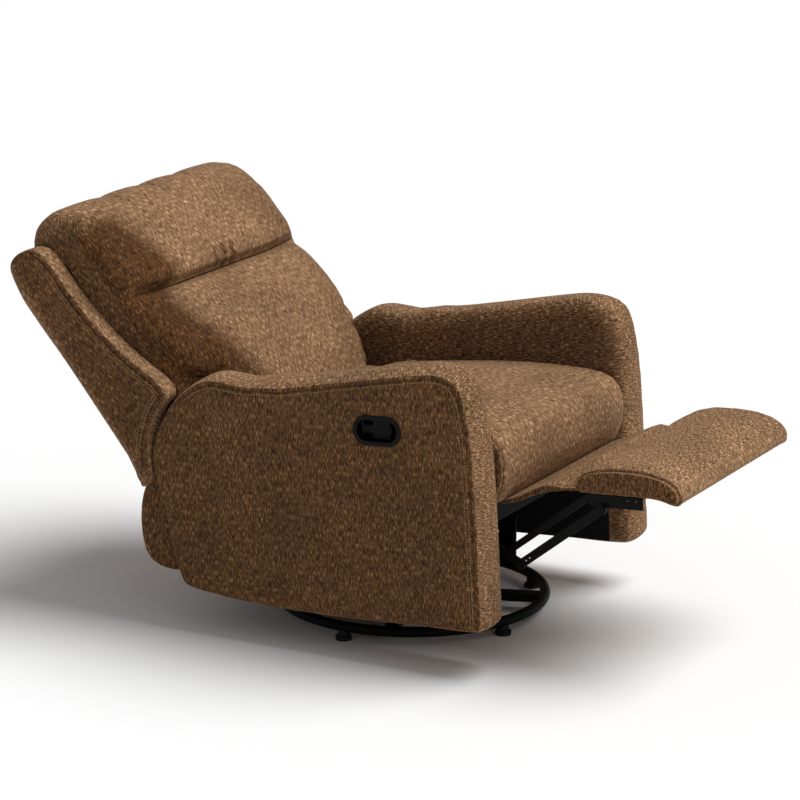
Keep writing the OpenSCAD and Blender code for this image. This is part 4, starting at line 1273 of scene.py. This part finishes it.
# The deep seam's line is a thicker dark cord: painted shadow in the deep crease, with its crushed pile.
stitched("back_thread", back_cover, "back", seams=[deep_line], seam_thick=0.0022)
dressed(back_cover, "back", ["lumbar_cushion", "head_pillow"], to_back, (2, 2, 1), back_nap_shade)

# %% [markdown]
# The wings are boards like the arms, but they ride on the back. Their outer panel stops short of the
# front edge, where a strip is sewn round it, with two rows of stitching beside the seam.

# %% Wings
WING_IN_X = 0.350
WING_OUT_X = 0.398
WING_SEAM_INSET = 0.013
WING_VOXEL = 0.0054
WING_ROLL, WING_ROLL_BEHIND, WING_INNER_ROLL = 0.007, 0.011, 0.006
WING_BEHIND, WING_TIP_LOWER = 0.005, 0.012
WING_PANEL_FULLNESS = 0.003
WING_ROWS = (0.0055, 0.0105)
WING_FRONT_UP, WING_FRONT = [0.10, 0.16, 0.30, 0.60, 0.66], [-0.30, -0.16, -0.15, -0.165, -0.16]


def wing_seam():
    """From the tip of the wing down its front edge to its lower point."""
    loop = inset(wing_outline, WING_SEAM_INSET)
    placed = to_back(across_at(loop, 0))
    forward, up = placed[:, 1], placed[:, 2]
    keep = (forward > np.interp(up, WING_FRONT_UP, WING_FRONT)) & (up < 0.612)
    start = np.argmax(~keep)
    loop, keep = np.roll(loop, -start, 0), np.roll(keep, -start)
    return loop[keep]


def wing_outer_radius(places):
    _, forward, up = to_back(places).T
    return WING_ROLL + WING_ROLL_BEHIND * fall(forward, -0.165, 0.03) * rise(up, 0.13, 0.03)


def wing_inner_radius(places):
    return np.full(len(places), WING_INNER_ROLL)


wing_seam_line = wing_seam()


def wing_cover(side):
    name = "wing_cover_" + ("left" if side > 0 else "right")
    piece = board(name, wing_outline, side * WING_IN_X, side * WING_OUT_X)
    remeshed(piece, WING_VOXEL)
    edge_rolled(piece, wing_outline, side * WING_OUT_X, side, wing_outer_radius)
    edge_rolled(piece, wing_outline, side * WING_IN_X, -side, wing_inner_radius)
    smoothed(piece, 3)
    x, forward, up = to_back(points(piece)).T
    behind = WING_BEHIND * fall(forward, -0.19, 0.03)
    lower = WING_TIP_LOWER * fall(up, 0.17, 0.06)
    move_to(piece, from_back(np.stack([x, forward - behind, up - lower], 1)))
    full_panel(piece, wing_outline, side * WING_OUT_X, side, WING_PANEL_FULLNESS)
    applied(piece, "SUBSURF", levels=1, render_levels=1)
    seam, _ = on_skin(piece, across_at(wing_seam_line, side * WING_OUT_X))
    sewn(piece, seam, depth=0.0032, width=0.0036, roll=0.4)
    rows = [across_at(beside(wing_seam_line, row), side * WING_OUT_X) for row in WING_ROWS]
    stitched(name.replace("cover", "thread"), piece, "back", rows=rows, seams=[seam])
    return piece


# Painted shade on the wings' side panels, with their darker nap: full near the front edge, weaker behind.
def wing_nap_shade(at, look):
    return facing_sideways(look) * np.maximum(rise(at[:, 1], -0.215, 0.03), 0.3)


for side, node in ((1, "wing_left"), (-1, "wing_right")):
    dressed(wing_cover(side), "back", [node], to_back, (2, 2, 0), wing_nap_shade)

# %% [markdown]
# The back is closed by one flat panel between the wings. It is pulled tight over its board, so it
# needs no swelling, only the soft edges that a remeshed and relaxed copy of its solid has.

# %% Back panel
panel_cover = cushion_form("back_panel", "back_panel_cover", voxel=0.006, relax=4)
dressed(panel_cover, "back", ["back_panel"], to_back, (2, 2, 1), None)

# %% [markdown]
# The footrest pad is a rounded slab with D-shaped side panels. Its top panel wraps over the front and
# is sewn to the sides a little below the top edge. It is made like the seat cushion.

# %% Footrest pad
PAD_SEAM_X = 0.272
PAD_FULLNESS = 0.0055

pad_cover = cushion_form("footrest_pad", "footrest_cover", voxel=0.005, relax=4)
filled_out(pad_cover, PAD_FULLNESS)
puffed(pad_cover, cap=0.003, voxel=0.009)
applied(pad_cover, "SUBSURF", levels=1, render_levels=1)
pad_seams = [evenly(profile_line(pad_cover, side * PAD_SEAM_X), SEAM_LINE_STEP) for side in (-1, 1)]
for line in pad_seams:
    sewn(pad_cover, line, depth=0.0034, width=0.0036, roll=0.4)
stitched("footrest_thread", pad_cover, "footrest", seams=pad_seams)
dressed(pad_cover, "footrest", ["footrest_pad"], to_body, (2, 2, 0), side_panel_nap_shade)

# %% [markdown]
# A thin pad of the same cloth bridges the gap between the seat's front and the footrest. Its side
# view is drawn point by point and extruded, because it has to pass closely under one cushion and
# over the end of the other. When the footrest goes in, it folds up under the seat, so it flattens
# towards the seat's edge.

# %% Footrest flap
FLAP_HALF = 0.256
FLAP_SIDE = [
    (-0.345, 0.3125), (-0.39, 0.322), (-0.43, 0.338), (-0.47, 0.3475), (-0.51, 0.3505), (-0.527, 0.3525),
    (-0.5275, 0.375), (-0.535, 0.390), (-0.5485, 0.3995), (-0.566, 0.4035), (-0.558, 0.4070),
    (-0.540, 0.4040), (-0.515, 0.396), (-0.485, 0.382), (-0.445, 0.360), (-0.40, 0.3365), (-0.352, 0.3190),
]
FLAP_UNDER_Y = [-0.56, -0.50, -0.45, -0.39, -0.345]
FLAP_UNDER_Z = [0.353, 0.3505, 0.3430, 0.3220, 0.3125]
FLAP_OVER_PAD_Y = -0.531
FLAP_NARROWING = 0.05
CORNER_BACK, CORNER_FLAT = 0.012, 0.86
INTO_PAD = 0.0012
CAST_HEIGHT = 0.2
FLAP_STEP, FLAP_VOXEL = 0.004, 0.0033

flap_outline = smooth_loop(from_body([(0, y, z) for y, z in FLAP_SIDE])[:, 1:], FLAP_STEP)
flap_cover = board("footrest_flap_cover", flap_outline, -FLAP_HALF, FLAP_HALF)
remeshed(flap_cover, FLAP_VOXEL)
smoothed(flap_cover, 2)
x, y, z = to_body(points(flap_cover)).T
corner = rise(np.abs(x), 0.140, 0.110) ** 1.3 * fall(y, -0.43, 0.07)
under = np.interp(y, FLAP_UNDER_Y, FLAP_UNDER_Z)
x = x * (1 - FLAP_NARROWING * fall(y, -0.42, 0.08))
flat_z = under + (z - under) * (1 - CORNER_FLAT * corner)
places = from_body(np.stack([x, y + CORNER_BACK * corner, flat_z], 1))
print("flap", len(places), "points")

# %% [markdown]
# The flap's end lies on the pad. Rays cast down from above find the pad's skin under each of its
# points, and what would float is let down onto it.

# %% The flap's end on the pad
down = from_body([[0, 0, -1]])[0] - from_body([[0, 0, 0]])[0]
pad_skin = BVHTree.FromObject(pad_cover, bpy.context.evaluated_depsgraph_get())
for i in np.nonzero(y < FLAP_OVER_PAD_Y)[0]:
    spot = pad_skin.ray_cast(Vector(places[i] - CAST_HEIGHT * down), Vector(down))[0]
    if spot is not None and places[i, 2] > spot.z - INTO_PAD:
        places[i, 2] = spot.z - INTO_PAD
move_to(flap_cover, places)


# Painted shade with the darker nap: a little over the whole flap, and fully on its sides.
def flap_nap_shade(at, look):
    return 0.15 + 0.85 * facing_sideways(look)


laid(flap_cover, to_body, (2, 2, 0), flap_nap_shade)
shaded_smooth(flap_cover)
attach(flap_cover, "seat")
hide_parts("footrest_flap")
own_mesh(flap_cover)

# %% [markdown]
# Behind the seat a loose skirt of the same cloth hangs from the back to the seat's rear rail. It
# bags outwards while the chair is reclined, turns the corner at both sides, and is drawn out
# straight when the back comes up. It is one sheet, so a flat grid is bent along its measured side
# view, given a few soft folds, and only then made as thick as cloth.

# %% Rear skirt
SKIRT_HALF = 0.378
SKIRT_WRAP = 0.100
SKIRT_SIDE = [
    (0.3927, 0.3489), (0.409, 0.325), (0.4185, 0.303), (0.4250, 0.277), (0.4280, 0.247), (0.4275, 0.213),
    (0.4215, 0.180), (0.407, 0.158), (0.383, 0.1465), (0.352, 0.1425), (0.3225, 0.150),
]
SKIRT_COLUMNS, SKIRT_STEP = 150, 0.006
RETURN_IN, RETURN_UP = 0.25, 0.12
FOLD_DEEP, FOLD_WAVE, FOLD_DRIFT = 0.004, 0.13, 0.37
CLOTH_THICK = 0.0018

skirt_line = evenly(SKIRT_SIDE, SKIRT_STEP)
skirt_rows = len(skirt_line) - 1
bpy.ops.object.select_all(action="DESELECT")
bpy.ops.mesh.primitive_grid_add(x_subdivisions=SKIRT_COLUMNS, y_subdivisions=skirt_rows, size=1)
skirt = bpy.context.object
skirt.name = "rear_skirt_cloth"
grid = points(skirt)
around = (grid[:, 0] / 0.5) * (SKIRT_HALF + SKIRT_WRAP)
row = np.rint((0.5 - grid[:, 1]) * skirt_rows).astype(int)
past = np.clip(np.abs(around) - SKIRT_HALF, 0, None)
line_y, line_z = skirt_line[row].T
drift = 0.9 * np.sin(math.tau * around / FOLD_DRIFT)
fold = FOLD_DEEP * np.sin(math.tau * around / FOLD_WAVE + drift) * np.sin(math.pi * row / skirt_rows)
x = np.sign(around) * (np.minimum(np.abs(around), SKIRT_HALF) - RETURN_IN * past)
skirt_places = np.stack([x, line_y + fold * (past == 0) - past, line_z + RETURN_UP * past], 1)
move_to(skirt, from_body(skirt_places))
smoothed(skirt, 6)
faced_out(skirt)
applied(skirt, "SOLIDIFY", thickness=CLOTH_THICK, offset=0)


# Painted shade with the darker nap, over the whole skirt behind the seat.
def skirt_nap_shade(at, look):
    return np.ones(len(at))


laid(skirt, to_body, (2, 2, 1), skirt_nap_shade)
shaded_smooth(skirt)
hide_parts("rear_skirt")
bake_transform(skirt)

# %% [markdown]
# The chair stands on a plain pale floor under soft studio light: a wide key from above and in front,
# a weak fill from the sitter's right, and a surround that looks white but lights little. Broad suns
# give softer shadows than lamps near the chair would, and they light every pose alike.

# %% Floor and light
FLOOR_WIDE = 40
SURROUND_LIGHT = 0.27

bpy.ops.object.select_all(action="DESELECT")
bpy.ops.mesh.primitive_plane_add(size=FLOOR_WIDE, location=(0, 0, 0))
floor = bpy.context.object
floor.name = "floor"
floor_paint, _, floor_shader = fresh_material("floor paint")
floor_shader.inputs["Base Color"].default_value = (0.93, 0.93, 0.93, 1)
floor_shader.inputs["Roughness"].default_value = 0.8
floor.data.materials.append(floor_paint)

world = bpy.data.worlds.new("studio")
world.use_nodes = True
surround = world.node_tree.nodes["Background"]
surround.inputs["Color"].default_value = (1, 1, 1, 1)
surround_path = added(world.node_tree, "ShaderNodeLightPath").outputs["Is Camera Ray"]
surround_light = ranged(world.node_tree, surround_path, 0, 1, SURROUND_LIGHT, 1.0)
world.node_tree.links.new(surround_light, surround.inputs["Strength"])
scene.world = world
scene.view_settings.view_transform = "Standard"


def soft_sun(name, toward, strength, width):
    lamp = bpy.data.lights.new(name, "SUN")
    lamp.energy = strength
    lamp.angle = math.radians(width)
    item = bpy.data.objects.new(name, lamp)
    item.rotation_euler = Vector(toward).to_track_quat("Z", "Y").to_euler()
    scene.collection.objects.link(item)


soft_sun("key", (0.28, -0.43, 0.86), 3.0, 45)
soft_sun("fill", (-0.55, -0.55, 0.45), 0.15, 60)
